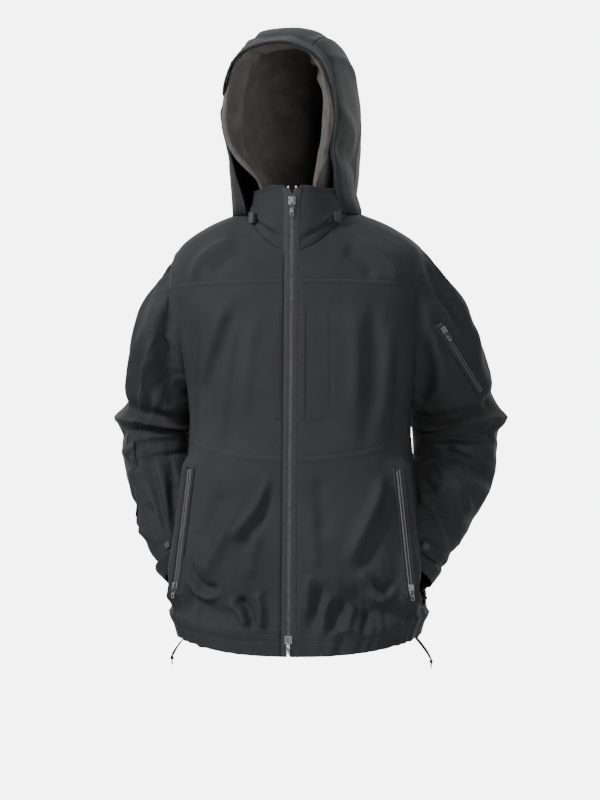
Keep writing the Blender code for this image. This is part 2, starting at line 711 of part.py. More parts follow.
def build_hem_cords():
    for side, word in ((1, "left"), (-1, "right")):
        cord_tube(f"{word}_hem_cord", side)
        knot = [(0.0012, -0.0130), (0.0016, -0.0125), (0.0014, -0.0060), (0.0030, -0.0050),
                (0.0036, -0.0025), (0.0030, -0.0002), (0.0015, 0.0)]
        turned(f"{word}_cord_knot", (side * 0.2024, 0.001, -0.6915), knot, TRIM)
        lock = [(0.0062, 0.0), (0.0070, 0.0010), (0.0070, 0.0125), (0.0062, 0.0135),
                (0.0042, 0.0135), (0.0042, 0.0065)]
        place = Vector((side * 0.1720, 0.0, -0.6402))
        body = turned(f"{word}_cord_lock", place, lock, TRIM, 16)
        body.scale = (0.85, 1.0, 1.0)
        button = [(0.0036, 0.0), (0.0036, 0.0075), (0.0030, 0.0085)]
        top = turned(f"{word}_lock_button", place + Vector((0, 0, 0.0100)), button, METAL, 14)
        top.scale = (0.85, 1.0, 1.0)


def clear_scene():
    for item in list(bpy.data.objects):
        bpy.data.objects.remove(item, do_unlink=True)


def build_pockets():
    for side, word in ((1, "left"), (-1, "right")):
        chest_welt(word, side)
        pocket_bag(f"{word}_hand_pocket_bag", side, (0.050, 0.130), (-0.600, -0.400))
        frame, length = hand_pocket_frame(side)
        pocket_zip(f"{word}_hand_pocket", frame, length, -length / 2 + 0.012)
    frame, length = sleeve_pocket_frame()
    pocket_zip("sleeve_pocket", frame, length, length / 2 - 0.012)


clear_scene()
build_body()
build_sleeves(torso_core())
build_hood()
build_main_zip()
build_pockets()
build_cuff_tabs()
build_hood_adjusters()
build_hanger()
build_hem_cords()
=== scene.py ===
"""Looks of the hardshell jacket: cloth, zips, trims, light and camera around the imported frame."""
import json
import math

import bmesh
import bpy
import numpy as np
from mathutils import Matrix, Vector
from mathutils.bvhtree import BVHTree

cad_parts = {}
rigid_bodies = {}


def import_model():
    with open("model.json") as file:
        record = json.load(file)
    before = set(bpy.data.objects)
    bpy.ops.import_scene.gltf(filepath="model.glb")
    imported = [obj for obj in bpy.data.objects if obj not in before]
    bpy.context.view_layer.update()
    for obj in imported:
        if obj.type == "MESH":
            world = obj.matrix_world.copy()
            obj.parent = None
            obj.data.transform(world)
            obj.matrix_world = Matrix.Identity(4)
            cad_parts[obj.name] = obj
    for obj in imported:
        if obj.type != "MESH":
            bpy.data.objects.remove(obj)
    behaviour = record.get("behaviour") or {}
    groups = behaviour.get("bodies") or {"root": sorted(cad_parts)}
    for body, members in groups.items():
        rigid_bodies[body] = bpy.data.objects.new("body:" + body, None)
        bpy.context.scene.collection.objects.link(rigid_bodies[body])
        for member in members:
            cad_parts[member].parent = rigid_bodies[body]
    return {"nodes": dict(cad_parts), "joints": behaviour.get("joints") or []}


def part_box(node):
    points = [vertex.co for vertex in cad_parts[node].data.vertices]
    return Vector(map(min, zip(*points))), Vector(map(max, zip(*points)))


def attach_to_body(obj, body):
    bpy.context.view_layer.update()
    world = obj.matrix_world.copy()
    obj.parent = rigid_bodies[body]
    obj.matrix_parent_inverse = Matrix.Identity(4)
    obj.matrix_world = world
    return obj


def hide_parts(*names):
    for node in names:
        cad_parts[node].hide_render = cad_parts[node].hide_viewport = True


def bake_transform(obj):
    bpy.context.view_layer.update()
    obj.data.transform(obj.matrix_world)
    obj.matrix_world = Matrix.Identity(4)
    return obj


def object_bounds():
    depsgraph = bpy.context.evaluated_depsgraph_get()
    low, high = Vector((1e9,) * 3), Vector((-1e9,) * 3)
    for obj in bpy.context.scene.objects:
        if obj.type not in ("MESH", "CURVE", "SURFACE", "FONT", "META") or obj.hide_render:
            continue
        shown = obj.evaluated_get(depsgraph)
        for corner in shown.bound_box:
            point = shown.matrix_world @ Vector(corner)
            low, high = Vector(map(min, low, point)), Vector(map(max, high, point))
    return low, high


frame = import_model()
CAD_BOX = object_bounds()

# ---- shape tables, the same design as the frame's solids ------------------------------------
FRONT_TOP = (0.034, -0.105)
FRONT_HEM = (-0.665, -0.150)
ZIP_TILT = math.atan2(FRONT_TOP[1] - FRONT_HEM[1], FRONT_TOP[0] - FRONT_HEM[0])
BODY_MID_Y = -0.008
PANEL_START = 0.0115
HEM_V, MID_V, YOKE_V, BACK_YOKE_V = 0.05, 0.42, 0.81, 0.70
COLLAR_HIGH = (0.034, 0.030, 0.045)
BACK_ROUNDNESS = 2.3
TORSO = np.array([
    (0.00, -0.672, -0.650, -0.662, 0.188, 0.122, 2.5),
    (0.05, -0.635, -0.615, -0.630, 0.197, 0.132, 2.7),
    (0.13, -0.580, -0.560, -0.575, 0.198, 0.138, 2.8),
    (0.25, -0.500, -0.475, -0.490, 0.188, 0.135, 2.7),
    (0.42, -0.381, -0.350, -0.370, 0.172, 0.128, 2.4),
    (0.58, -0.270, -0.270, -0.270, 0.176, 0.130, 2.3),
    (0.70, -0.190, -0.195, -0.190, 0.188, 0.132, 2.3),
    (0.82, -0.107, -0.110, -0.110, 0.200, 0.130, 2.3),
    (0.88, -0.090, -0.060, -0.062, 0.190, 0.120, 2.2),
    (0.94, -0.078, -0.024, -0.022, 0.143, 0.105, 2.1),
    (1.00, -0.065, 0.002, 0.006, 0.080, 0.080, 2.0)])
SLEEVE = np.array([
    (0.00, 0.120, 0.010, -0.095, 0.080),
    (0.12, 0.163, 0.018, -0.132, 0.079),
    (0.25, 0.194, 0.036, -0.190, 0.074),
    (0.38, 0.220, 0.062, -0.255, 0.071),
    (0.50, 0.238, 0.084, -0.322, 0.068),
    (0.62, 0.236, 0.070, -0.390, 0.063),
    (0.75, 0.216, 0.030, -0.452, 0.056),
    (0.87, 0.190, -0.002, -0.505, 0.050),
    (1.00, 0.165, -0.026, -0.553, 0.045)])
HOOD = np.array([
    (-0.055, 104, 0.275, 0.094, 0.20),
    (-0.040, 93, 0.285, 0.102, 0.10),
    (-0.020, 78, 0.285, 0.107, 0.04),
    (0.000, 60, 0.262, 0.108, 0.03),
    (0.015, 44, 0.225, 0.106, 0.03),
    (0.030, 28, 0.170, 0.102, 0.03),
    (0.040, 14, 0.115, 0.096, 0.03),
    (0.045, 2, 0.074, 0.090, 0.03)])
HOOD_TURN, HOOD_LEAN = math.radians(6), math.radians(3)
HOOD_BASE_Z, HOOD_SQUARENESS = 0.006, 2.7
# How much wider than the plain form each side of the worn hood stands, by height.
HOOD_LEFT = np.array([
    (0.0, 0.94), (0.034, 0.80), (0.092, 0.81), (0.143, 0.91), (0.19, 1.0), (0.24, 1.14), (0.28, 1.22)])
HOOD_RIGHT = np.array([
    (0.0, 0.98), (0.042, 1.03), (0.096, 1.09), (0.14, 1.10), (0.19, 1.09), (0.25, 1.06), (0.28, 1.14)])
HOOD_SINK, BRIM_DROP, BRIM_REACH = 0.006, 0.019, 0.32
# The resting arms press the sides of the body in: below this height, over this fade, with this room.
ARM_REST_Z, ARM_REST_FADE, ARM_ROOM = -0.215, 0.09, 0.007
ARM_PRESS = np.linspace(0.22, 1.06, 43)
ARM_END_LEAN, ARM_END_RUN = np.array((-0.006, -0.006, -0.012)), 0.04
COLLAR_HALF_WIDE, COLLAR_BACK_Y = 0.071, 0.072
FRONT_BEFORE_Y = -0.07
SIDES = ((1, "left"), (-1, "right"))


# ---- curves and surfaces ----------------------------------------------------------------------
def curve_through(keys, rows, t):
    """Smooth curve (cubic Hermite) through rows, at an array of parameter values."""
    rows = np.asarray(rows, float)
    t = np.asarray(t, float)
    slope = np.gradient(rows, keys, axis=0)
    i = np.clip(np.searchsorted(keys, t) - 1, 0, len(keys) - 2)
    h = (keys[i + 1] - keys[i])[..., None]
    s = ((t - keys[i]) / h[..., 0])[..., None]
    return ((2 * s**3 - 3 * s**2 + 1) * rows[i] + (s**3 - 2 * s**2 + s) * h * slope[i]
            + (3 * s**2 - 2 * s**3) * rows[i + 1] + (s**3 - s**2) * h * slope[i + 1])


def smooth(low, high, x):
    """Smooth step from 0 at low to 1 at high."""
    s = np.clip((np.asarray(x, float) - low) / (high - low), 0, 1)
    return s * s * (3 - 2 * s)


def front_y(z):
    """How far forward the flat front lies at a height."""
    return FRONT_TOP[1] + (z - FRONT_TOP[0]) * math.tan(ZIP_TILT)


def signed_power(value, power):
    """Power that keeps the sign."""
    return np.sign(value) * np.abs(value) ** power


def sleeve_frame(t, side):
    """Centres, radii, outward and forward directions of the sleeve at an array of t."""
    rows = curve_through(SLEEVE[:, 0], SLEEVE[:, 1:], t)
    ahead = curve_through(SLEEVE[:, 0], SLEEVE[:, 1:], np.clip(t + 0.01, 0, 1))
    behind = curve_through(SLEEVE[:, 0], SLEEVE[:, 1:], np.clip(t - 0.01, 0, 1))
    mirror = np.array((side, 1, 1))
    along = (ahead[..., :3] - behind[..., :3]) * mirror
    along /= np.linalg.norm(along, axis=-1, keepdims=True)
    out = np.array((side, 0.0, 0.0)) - along * (along[..., :1] * side)
    out /= np.linalg.norm(out, axis=-1, keepdims=True)
    return rows[..., :3] * mirror, rows[..., 3], out, np.cross(along, out) * side


def sleeve_points(t, w, side):
    """Smooth sleeve: t runs from shoulder to cuff, w round it."""
    centre, radius, out, forward = sleeve_frame(t, side)
    turn = 2 * math.pi * np.asarray(w)
    reach = radius[..., None]
    return centre + out * (reach * np.cos(turn)[..., None]) + forward * (reach * np.sin(turn)[..., None])


def torso_points(u, v, room=ARM_ROOM):
    """Outer face of the torso; the arms press its sides in."""
    u, v = np.broadcast_arrays(np.asarray(u, float), np.asarray(v, float))
    row = curve_through(TORSO[:, 0], TORSO[:, 1:], v)
    c, s = np.cos(2 * math.pi * u), np.sin(2 * math.pi * u)
    power = np.where(c > 0, row[..., 5], BACK_ROUNDNESS)
    x = row[..., 3] * signed_power(s, 2 / power)
    z_face = np.where(c > 0, row[..., 0], row[..., 2])
    face = np.where(c > 0, front_y(row[..., 0]), row[..., 4])
    y = BODY_MID_Y + (face - BODY_MID_Y) * np.abs(c) ** (2 / power)
    z = row[..., 1] + (z_face - row[..., 1]) * c * c
    y = y + np.where(c > 0, (front_y(z) - front_y(z_face)) * c * c, 0)
    points = np.stack((np.abs(x), y, z), axis=-1)
    share = np.clip((ARM_REST_Z - z) / ARM_REST_FADE, 0, 1)
    for t in ARM_PRESS:
        centre, radius, _, _ = sleeve_frame(np.array(min(t, 1.0)), 1)
        centre = centre + ARM_END_LEAN * max(t - 1, 0) / ARM_END_RUN
        away = points - centre
        reach = radius + room
        lack = np.maximum(reach - np.linalg.norm(away, axis=-1), 0) * share
        push = np.stack((np.full_like(x, -0.85), away[..., 1] / reach, np.zeros_like(x)), axis=-1)
        push /= np.linalg.norm(push, axis=-1, keepdims=True)
        points = points + push * lack[..., None]
    points[..., 0] *= np.where(s < 0, -1, 1)
    return points


def collar_points(u, rise):
    """Smooth collar: u runs round the neck, rise from foot to top edge."""
    c, s = np.cos(2 * math.pi * u), np.sin(2 * math.pi * u)
    foot = TORSO[-1, 1:]
    high = COLLAR_HIGH[1] + (np.where(c > 0, COLLAR_HIGH[0], COLLAR_HIGH[2]) - COLLAR_HIGH[1]) * c * c
    low = foot[1] + (np.where(c > 0, foot[0], foot[2]) - foot[1]) * c * c
    z = low + (high - low) * rise
    half = foot[3] + (COLLAR_HALF_WIDE - foot[3]) * rise
    face = np.where(c > 0, front_y(z), foot[4] + (COLLAR_BACK_Y - foot[4]) * rise)
    y = BODY_MID_Y + (face - BODY_MID_Y) * np.abs(c)
    return np.stack((half * s, y, z), axis=-1)


def hood_points(s, t, inset=0.0):
    """Outer face of the hood: s runs from the face opening to the nape, t over the top."""
    s, t = np.broadcast_arrays(np.asarray(s, float), np.asarray(t, float))
    row = curve_through(np.linspace(0, 1, len(HOOD)), HOOD, s)
    turn = math.pi * (t - 0.5)
    c, k = np.maximum(np.cos(turn), 0), np.sin(turn)
    half = row[..., 3] * (1 - row[..., 4] * (1 - c) ** 2) - inset
    across = half * signed_power(k, 2 / HOOD_SQUARENESS)
    out = (row[..., 2] - inset) * c ** (2 / HOOD_SQUARENESS)
    tilt = np.radians(row[..., 1])
    drop = (HOOD_SINK + BRIM_DROP * np.maximum(1 - s / BRIM_REACH, 0) ** 2) * c ** 1.5
    ahead, high = row[..., 0] + out * np.cos(tilt), HOOD_BASE_Z + out * np.sin(tilt) - drop
    return hood_pose(np.stack((across, ahead, high), axis=-1))


def hood_pose(point):
    """Turn and lean the hood as it is worn, and widen each side by height."""
    share = np.clip(point[..., 2] / 0.08, 0, 1)
    turn, lean = -HOOD_TURN * share, -HOOD_LEAN * share
    x = point[..., 0] * np.cos(turn) - point[..., 1] * np.sin(turn)
    y = point[..., 0] * np.sin(turn) + point[..., 1] * np.cos(turn)
    z = point[..., 2]
    x, z = x * np.cos(lean) + z * np.sin(lean), z * np.cos(lean) - x * np.sin(lean)
    x = x * np.where(x > 0, np.interp(z, HOOD_LEFT[:, 0], HOOD_LEFT[:, 1]),
                     np.interp(z, HOOD_RIGHT[:, 0], HOOD_RIGHT[:, 1]))
    return np.stack((x, y, z), axis=-1)


def grid_normals(grid, wrap=False):
    """Unit normals of a grid of points."""
    along = np.gradient(grid, axis=0)
    if wrap:
        around = (np.roll(grid, -1, axis=1) - np.roll(grid, 1, axis=1)) / 2
    else:
        around = np.gradient(grid, axis=1)
    normal = np.cross(around, along)
    length = np.linalg.norm(normal, axis=-1, keepdims=True)
    return normal / np.maximum(length, 1e-12)


def placed(matrix, points):
    """Points of a zip's own frame, in the frame of the jacket."""
    turn = np.array(matrix)
    return points @ turn[:3, :3].T + turn[:3, 3]


# ---- pieces -----------------------------------------------------------------------------------
SHELL_THICK, THIN_CLOTH = 0.0016, 0.0014


def cloth_piece(name, grid, material, wall=SHELL_THICK, wrap=False, keep=None, flip=False):
    """Sheet of cloth over a grid of points, with a folded edge all round and a UV map in metres."""
    rows, columns = grid.shape[:2]
    i, j = np.meshgrid(np.arange(rows - 1), np.arange(columns if wrap else columns - 1), indexing="ij")
    if keep is not None:
        i, j = i[keep[i, j]], j[keep[i, j]]
    i, j = i.ravel(), j.ravel()
    corners = [(i, j), (i, j + 1), (i + 1, j + 1), (i + 1, j)]
    if flip:
        corners.reverse()
    quads = np.stack([a * columns + b % columns for a, b in corners], axis=1)
    used, faces = np.unique(quads, return_inverse=True)
    mesh = bpy.data.meshes.new(name)
    mesh.from_pydata(grid.reshape(-1, 3)[used].tolist(), [], faces.reshape(-1, 4).tolist())
    closed = np.concatenate([grid, grid[:, :1]], axis=1) if wrap else grid
    across = np.linalg.norm(np.diff(closed, axis=1), axis=-1).mean(axis=0)
    down = np.linalg.norm(np.diff(grid, axis=0), axis=-1).mean(axis=1)
    u, v = (np.concatenate([[0], np.cumsum(steps)]) for steps in (across, down))
    places = np.stack([np.stack((u[b], v[a]), axis=-1) for a, b in corners], axis=1)
    mesh.uv_layers.new(name="metres").data.foreach_set("uv", places.astype(np.float32).ravel())
    mesh.shade_smooth()
    mesh.materials.append(material)
    piece = bpy.data.objects.new(name, mesh)
    bpy.context.collection.objects.link(piece)
    solid = piece.modifiers.new("cloth", 'SOLIDIFY')
    solid.thickness = wall
    solid.offset = -1
    return piece


def plain_object(name, points, faces):
    """Object made of points and faces."""
    mesh = bpy.data.meshes.new(name)
    mesh.from_pydata(np.asarray(points).reshape(-1, 3).tolist(), [], faces)
    thing = bpy.data.objects.new(name, mesh)
    bpy.context.collection.objects.link(thing)
    return thing


def grid_faces(rows, columns, wrap=False):
    """Corner numbers of the squares between the points of a grid."""
    i, j = np.meshgrid(np.arange(rows - 1), np.arange(columns if wrap else columns - 1), indexing="ij")
    i, j = i.ravel(), j.ravel()
    k = (j + 1) % columns
    return np.stack([i * columns + j, i * columns + k, (i + 1) * columns + k, (i + 1) * columns + j],
                    axis=1).tolist()


def attach(piece, body, node=None):
    """Let a piece ride a body, and stand for a node of the frame."""
    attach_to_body(piece, body)
    if node:
        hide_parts(node)


# ---- materials --------------------------------------------------------------------------------
class Nodes:
    """Short-hand for building a node tree."""

    def __init__(self, name, colour, roughness, metallic=0.0):
        self.material = bpy.data.materials.new(name)
        self.material.use_nodes = True
        self.tree = self.material.node_tree
        self.shader = self.tree.nodes["Principled BSDF"]
        self.shader.inputs["Base Color"].default_value = (*colour, 1)
        self.shader.inputs["Roughness"].default_value = roughness
        self.shader.inputs["Metallic"].default_value = metallic

    def add(self, kind, **values):
        node = self.tree.nodes.new(kind)
        for key, value in values.items():
            setattr(node, key, value)
        return node

    def link(self, source, out, target, into):
        self.tree.links.new(source.outputs[out], target.inputs[into])

    def noise(self, scale, detail):
        node = self.add('ShaderNodeTexNoise')
        node.inputs["Scale"].default_value = scale
        node.inputs["Detail"].default_value = detail
        self.link(self.add('ShaderNodeTexCoord'), "Object", node, "Vector")
        return node

    def threads(self, pitch, direction):
        """Bands one thread apart, across or along the cloth."""
        node = self.add('ShaderNodeTexWave', wave_type='BANDS', bands_direction=direction)
        node.inputs["Scale"].default_value = 2 * math.pi / (20 * pitch)
        node.inputs["Distortion"].default_value = 0.6
        node.inputs["Detail Scale"].default_value = 0.4
        self.link(self.add('ShaderNodeUVMap', uv_map="metres"), "UV", node, "Vector")
        return node

    def product(self, first, second):
        node = self.add('ShaderNodeMath', operation='MULTIPLY')
        self.tree.links.new(first, node.inputs[0])
        self.tree.links.new(second, node.inputs[1])
        return node.outputs[0]

    def bump(self, height, distance, strength, previous=None):
        node = self.add('ShaderNodeBump')
        node.inputs["Distance"].default_value = distance
        node.inputs["Strength"].default_value = strength
        self.tree.links.new(height, node.inputs["Height"])
        if previous:
            self.link(previous, "Normal", node, "Normal")
        return node

    def tint(self, factor, low, high, positions=(0.3, 0.7)):
        ramp = self.add('ShaderNodeValToRGB')
        ramp.color_ramp.elements[0].position, ramp.color_ramp.elements[1].position = positions
        ramp.color_ramp.elements[0].color = (*low, 1)
        ramp.color_ramp.elements[1].color = (*high, 1)
        self.tree.links.new(factor, ramp.inputs["Fac"])
        return ramp

    def finish(self, colour, normal=None, roughness=None):
        self.link(colour, "Color", self.shader, "Base Color")
        if normal:
            self.link(normal, "Normal", self.shader, "Normal")
        if roughness:
            self.tree.links.new(roughness, self.shader.inputs["Roughness"])
        return self.material


def ramp_value(nodes, factor, low, high):
    node = nodes.add('ShaderNodeMapRange')
    node.inputs["To Min"].default_value = low
    node.inputs["To Max"].default_value = high
    nodes.tree.links.new(factor, node.inputs["Value"])
    return node.outputs["Result"]


THREAD_PITCH, TAPE_RIB = 0.0007, 0.0006


def shell_cloth():
    """Charcoal three-layer face cloth: plain weave, faint crinkle, a dry sheen."""
    n = Nodes("shell_cloth", (0.0172, 0.0175, 0.0184), 0.88)
    n.shader.inputs["Sheen Weight"].default_value = 0.006
    n.shader.inputs["Sheen Roughness"].default_value = 0.45
    n.shader.inputs["Sheen Tint"].default_value = (0.55, 0.57, 0.60, 1)
    n.shader.inputs["Specular IOR Level"].default_value = 0.06
    cloudy = n.noise(9.0, 4.0)
    colour = n.tint(cloudy.outputs["Fac"], (0.0155, 0.0158, 0.0166), (0.0200, 0.0204, 0.0214))
    warp, weft = n.threads(THREAD_PITCH, 'X'), n.threads(THREAD_PITCH, 'Y')
    weave = n.product(warp.outputs["Fac"], weft.outputs["Fac"])
    crinkle = n.noise(85.0, 5.0)
    soft = n.bump(crinkle.outputs["Fac"], 0.0011, 0.55)
    fine = n.bump(weave, 0.00016, 0.5, soft)
    rough = ramp_value(n, n.noise(400.0, 2.0).outputs["Fac"], 0.80, 0.95)
    return n.finish(colour, fine, rough)


def fleece_cloth():
    """Brushed dark-grey fleece: short nap, blotchy, no gloss."""
    n = Nodes("fleece", (0.050, 0.047, 0.046), 0.95)
    n.shader.inputs["Sheen Weight"].default_value = 0.10
    n.shader.inputs["Sheen Roughness"].default_value = 0.6
    n.shader.inputs["Sheen Tint"].default_value = (0.75, 0.70, 0.66, 1)
    n.shader.inputs["Specular IOR Level"].default_value = 0.1
    nap = n.noise(420.0, 6.0)
    blotch = n.noise(38.0, 4.0)
    colour = n.tint(blotch.outputs["Fac"], (0.040, 0.0370, 0.0360), (0.068, 0.063, 0.061))
    rough = n.bump(nap.outputs["Fac"], 0.0016, 0.9)
    tufts = n.bump(n.noise(95.0, 4.0).outputs["Fac"], 0.0022, 0.6, rough)
    return n.finish(colour, tufts)


def zip_tape_cloth(name, gloss, rough):
    """Laminated water-shedding zip tape: near black with a satin face."""
    n = Nodes(name, (0.020, 0.020, 0.022), rough)
    n.shader.inputs["Specular IOR Level"].default_value = gloss
    ribs = n.threads(TAPE_RIB, 'Y')
    grain = n.noise(260.0, 4.0)
    colour = n.tint(grain.outputs["Fac"], (0.012, 0.012, 0.013), (0.020, 0.020, 0.021))
    bump = n.bump(ribs.outputs["Fac"], 0.00008, 0.4)
    return n.finish(colour, n.bump(grain.outputs["Fac"], 0.0002, 0.4, bump),
                    ramp_value(n, grain.outputs["Fac"], rough - 0.06, rough + 0.08))


def moulded(name, colour, roughness=0.42):
    """Moulded plastic with a fine spark-eroded grain and slightly rubbed edges."""
    n = Nodes(name, colour, roughness)
    grain = n.noise(1800.0, 3.0)
    worn = n.noise(140.0, 4.0)
    tone = n.tint(worn.outputs["Fac"], colour, tuple(c * 1.7 + 0.004 for c in colour), (0.35, 0.85))
    return n.finish(tone, n.bump(grain.outputs["Fac"], 0.00008, 0.5),
                    ramp_value(n, worn.outputs["Fac"], roughness - 0.07, roughness + 0.1))


def enamelled_metal():
    """Dark enamel on die-cast metal, rubbed a little brighter by use."""
    colour = (0.150, 0.150, 0.154)
    n = Nodes("enamelled_metal", colour, 0.30, 0.75)
    rub = n.noise(260.0, 5.0)
    tone = n.tint(rub.outputs["Fac"], colour, tuple(c * 2.6 for c in colour), (0.45, 0.80))
    return n.finish(tone, n.bump(rub.outputs["Fac"], 0.00006, 0.5),
                    ramp_value(n, rub.outputs["Fac"], 0.22, 0.42))


def braid():
    """Round braided elastic cord."""
    n = Nodes("braid", (0.012, 0.012, 0.013), 0.9)
    n.shader.inputs["Specular IOR Level"].default_value = 0.1
    strands = n.add('ShaderNodeTexWave', wave_type='BANDS', bands_direction='DIAGONAL')
    strands.inputs["Scale"].default_value = 420.0
    n.link(n.add('ShaderNodeTexCoord'), "Object", strands, "Vector")
    colour = n.tint(strands.outputs["Fac"], (0.008, 0.008, 0.009), (0.020, 0.020, 0.021))
    return n.finish(colour, n.bump(strands.outputs["Fac"], 0.0003, 0.8))


SHELL = shell_cloth()
FLEECE = fleece_cloth()
TAPE = zip_tape_cloth("zip_tape", 0.5, 0.38)
MATT_TAPE = zip_tape_cloth("main_zip_tape", 0.12, 0.62)
TEETH = moulded("zip_teeth", (0.030, 0.030, 0.032), 0.34)
PLASTIC = moulded("trim_plastic", (0.014, 0.014, 0.015))
METAL = enamelled_metal()
PALE_STOP = moulded("end_stop", (0.30, 0.29, 0.27), 0.4)
BRAID = braid()
THREAD = moulded("sewing_thread", (0.014, 0.014, 0.015), 0.9)


# ---- folds ------------------------------------------------------------------------------------
def rough_waves(a, b, seed, count=14, low=8.0, high=34.0, lean=(1.0, 1.0)):
    """Smooth irregular waves over two coordinates in metres, about -1 to 1."""
    rng = np.random.default_rng(seed)
    total = np.zeros_like(a)
    for _ in range(count):
        turn, phase = rng.uniform(0, 2 * math.pi, 2)
        pitch = rng.uniform(low, high)
        total += np.sin(pitch * (lean[0] * math.cos(turn) * a + lean[1] * math.sin(turn) * b) + phase) / pitch
    return total / np.abs(total).max()


FOLD_TAPER, FOLD_PIECES = 0.24, 14


def ridge(a, b, path, width, height):
    """Height of one fold along a bent path; negative heights are valleys."""
    path = np.asarray(path, float)
    line = curve_through(np.linspace(0, 1, len(path)), path, np.linspace(0, 1, FOLD_PIECES + 1))
    reach = 3 * width
    box = ((a > line[:, 0].min() - reach) & (a < line[:, 0].max() + reach)
           & (b > line[:, 1].min() - reach) & (b < line[:, 1].max() + reach))
    x, y = a[box], b[box]
    best = np.full(x.shape, 1e9)
    along = np.zeros(x.shape)
    for i, ((x0, y0), (x1, y1)) in enumerate(zip(line, line[1:])):
        run = (x1 - x0) ** 2 + (y1 - y0) ** 2
        part = np.clip(((x - x0) * (x1 - x0) + (y - y0) * (y1 - y0)) / run, 0, 1)
        gap = (x - x0 - part * (x1 - x0)) ** 2 + (y - y0 - part * (y1 - y0)) ** 2
        along = np.where(gap < best, (i + part) / FOLD_PIECES, along)
        best = np.minimum(best, gap)
    fade = smooth(0, FOLD_TAPER, along) * smooth(0, FOLD_TAPER, 1 - along)
    total = np.zeros(a.shape)
    total[box] = height * np.exp(-best / width ** 2) * fade
    return total


# Folds of the front, in x and z from the centre line: path, width, height.
FRONT_FOLDS = (
    # soft drape from the right yoke
    (((-0.076, -0.126), (-0.100, -0.190), (-0.124, -0.250), (-0.140, -0.310)), 0.011, 0.0040),
    (((-0.100, -0.140), (-0.122, -0.200), (-0.146, -0.270)), 0.010, -0.0034),
    (((-0.070, -0.130), (-0.082, -0.210), (-0.094, -0.320), (-0.100, -0.380)), 0.010, 0.0036),
    (((-0.056, -0.160), (-0.066, -0.240), (-0.074, -0.340)), 0.011, -0.0026),
    (((-0.150, -0.150), (-0.156, -0.220), (-0.160, -0.300), (-0.160, -0.370)), 0.010, 0.0044),
    # soft drape from the left yoke
    (((0.118, -0.120), (0.124, -0.200), (0.118, -0.300), (0.108, -0.380)), 0.012, 0.0036),
    (((0.096, -0.150), (0.098, -0.230), (0.094, -0.320)), 0.011, -0.0032),
    (((0.146, -0.170), (0.142, -0.250), (0.130, -0.340)), 0.011, -0.0040),
    (((0.160, -0.200), (0.158, -0.290), (0.150, -0.370)), 0.010, 0.0046),
    # long pull lines that run from the zip out to the hand pockets
    (((-0.028, -0.392), (-0.044, -0.440), (-0.070, -0.476), (-0.092, -0.505)), 0.0075, -0.0062),
    (((-0.020, -0.405), (-0.036, -0.455), (-0.058, -0.492), (-0.078, -0.520)), 0.0085, 0.0052),
    (((-0.076, -0.440), (-0.098, -0.490), (-0.120, -0.530), (-0.136, -0.560)), 0.011, -0.0056),
    (((-0.100, -0.420), (-0.122, -0.470), (-0.142, -0.512)), 0.013, 0.0046),
    (((0.146, -0.388), (0.128, -0.440), (0.106, -0.490), (0.084, -0.540)), 0.010, -0.0062),
    (((0.158, -0.400), (0.144, -0.460), (0.122, -0.510), (0.100, -0.556)), 0.011, 0.0054),
    (((0.040, -0.400), (0.048, -0.450), (0.056, -0.500)), 0.012, 0.0030),
    (((-0.046, -0.470), (-0.056, -0.520), (-0.058, -0.560)), 0.010, -0.0040),
    (((0.030, -0.450), (0.034, -0.500), (0.040, -0.548)), 0.009, -0.0036),
    # creases round the pocketed hands
    (((-0.168, -0.500), (-0.150, -0.556), (-0.128, -0.572), (-0.106, -0.566)), 0.007, 0.0060),
    (((-0.172, -0.520), (-0.158, -0.572), (-0.132, -0.588), (-0.104, -0.580)), 0.006, -0.0054),
    (((-0.176, -0.560), (-0.150, -0.596), (-0.112, -0.612), (-0.090, -0.606)), 0.012, 0.0055),
    (((0.110, -0.572), (0.134, -0.590), (0.152, -0.582), (0.166, -0.560)), 0.007, -0.0056),
    (((0.124, -0.556), (0.142, -0.570), (0.160, -0.556)), 0.006, 0.0050),
    (((0.088, -0.560), (0.108, -0.596), (0.136, -0.612), (0.164, -0.604)), 0.012, 0.0046),
    (((0.104, -0.540), (0.122, -0.566), (0.150, -0.600)), 0.008, -0.0042),
    # puckers over the hem
    (((-0.098, -0.590), (-0.076, -0.606), (-0.062, -0.632)), 0.007, -0.0075),
    (((-0.080, -0.584), (-0.066, -0.600), (-0.052, -0.634)), 0.0065, 0.0070),
    (((-0.050, -0.576), (-0.044, -0.598), (-0.044, -0.640)), 0.0060, -0.0064),
    (((-0.040, -0.572), (-0.030, -0.600), (-0.028, -0.642)), 0.0065, 0.0060),
    (((0.034, -0.546), (0.026, -0.580), (0.030, -0.614)), 0.0060, -0.0072),
    (((0.050, -0.560), (0.038, -0.596), (0.030, -0.640)), 0.0070, 0.0068),
    (((0.066, -0.574), (0.054, -0.606), (0.050, -0.642)), 0.0060, -0.0060),
    (((0.082, -0.586), (0.070, -0.612), (0.066, -0.640)), 0.0060, 0.0056),
    (((0.100, -0.592), (0.090, -0.616), (0.084, -0.640)), 0.0060, -0.0054),
    (((0.126, -0.600), (0.116, -0.620), (0.108, -0.640)), 0.0065, 0.0050),
    # outline of the left chest pocket bag
    (((0.024, -0.322), (0.044, -0.322), (0.060, -0.320)), 0.0020, 0.0009),
    (((0.060, -0.320), (0.061, -0.230), (0.060, -0.142)), 0.0020, 0.0009),
    # the yokes under the collar
    (((-0.084, -0.046), (-0.118, -0.058), (-0.146, -0.082), (-0.156, -0.118)), 0.009, -0.0046),
    (((-0.072, -0.062), (-0.102, -0.078), (-0.126, -0.104)), 0.011, 0.0040),
    (((0.086, -0.046), (0.122, -0.060), (0.148, -0.084), (0.160, -0.120)), 0.009, -0.0042),
    (((0.074, -0.062), (0.104, -0.080), (0.128, -0.108)), 0.011, 0.0036))
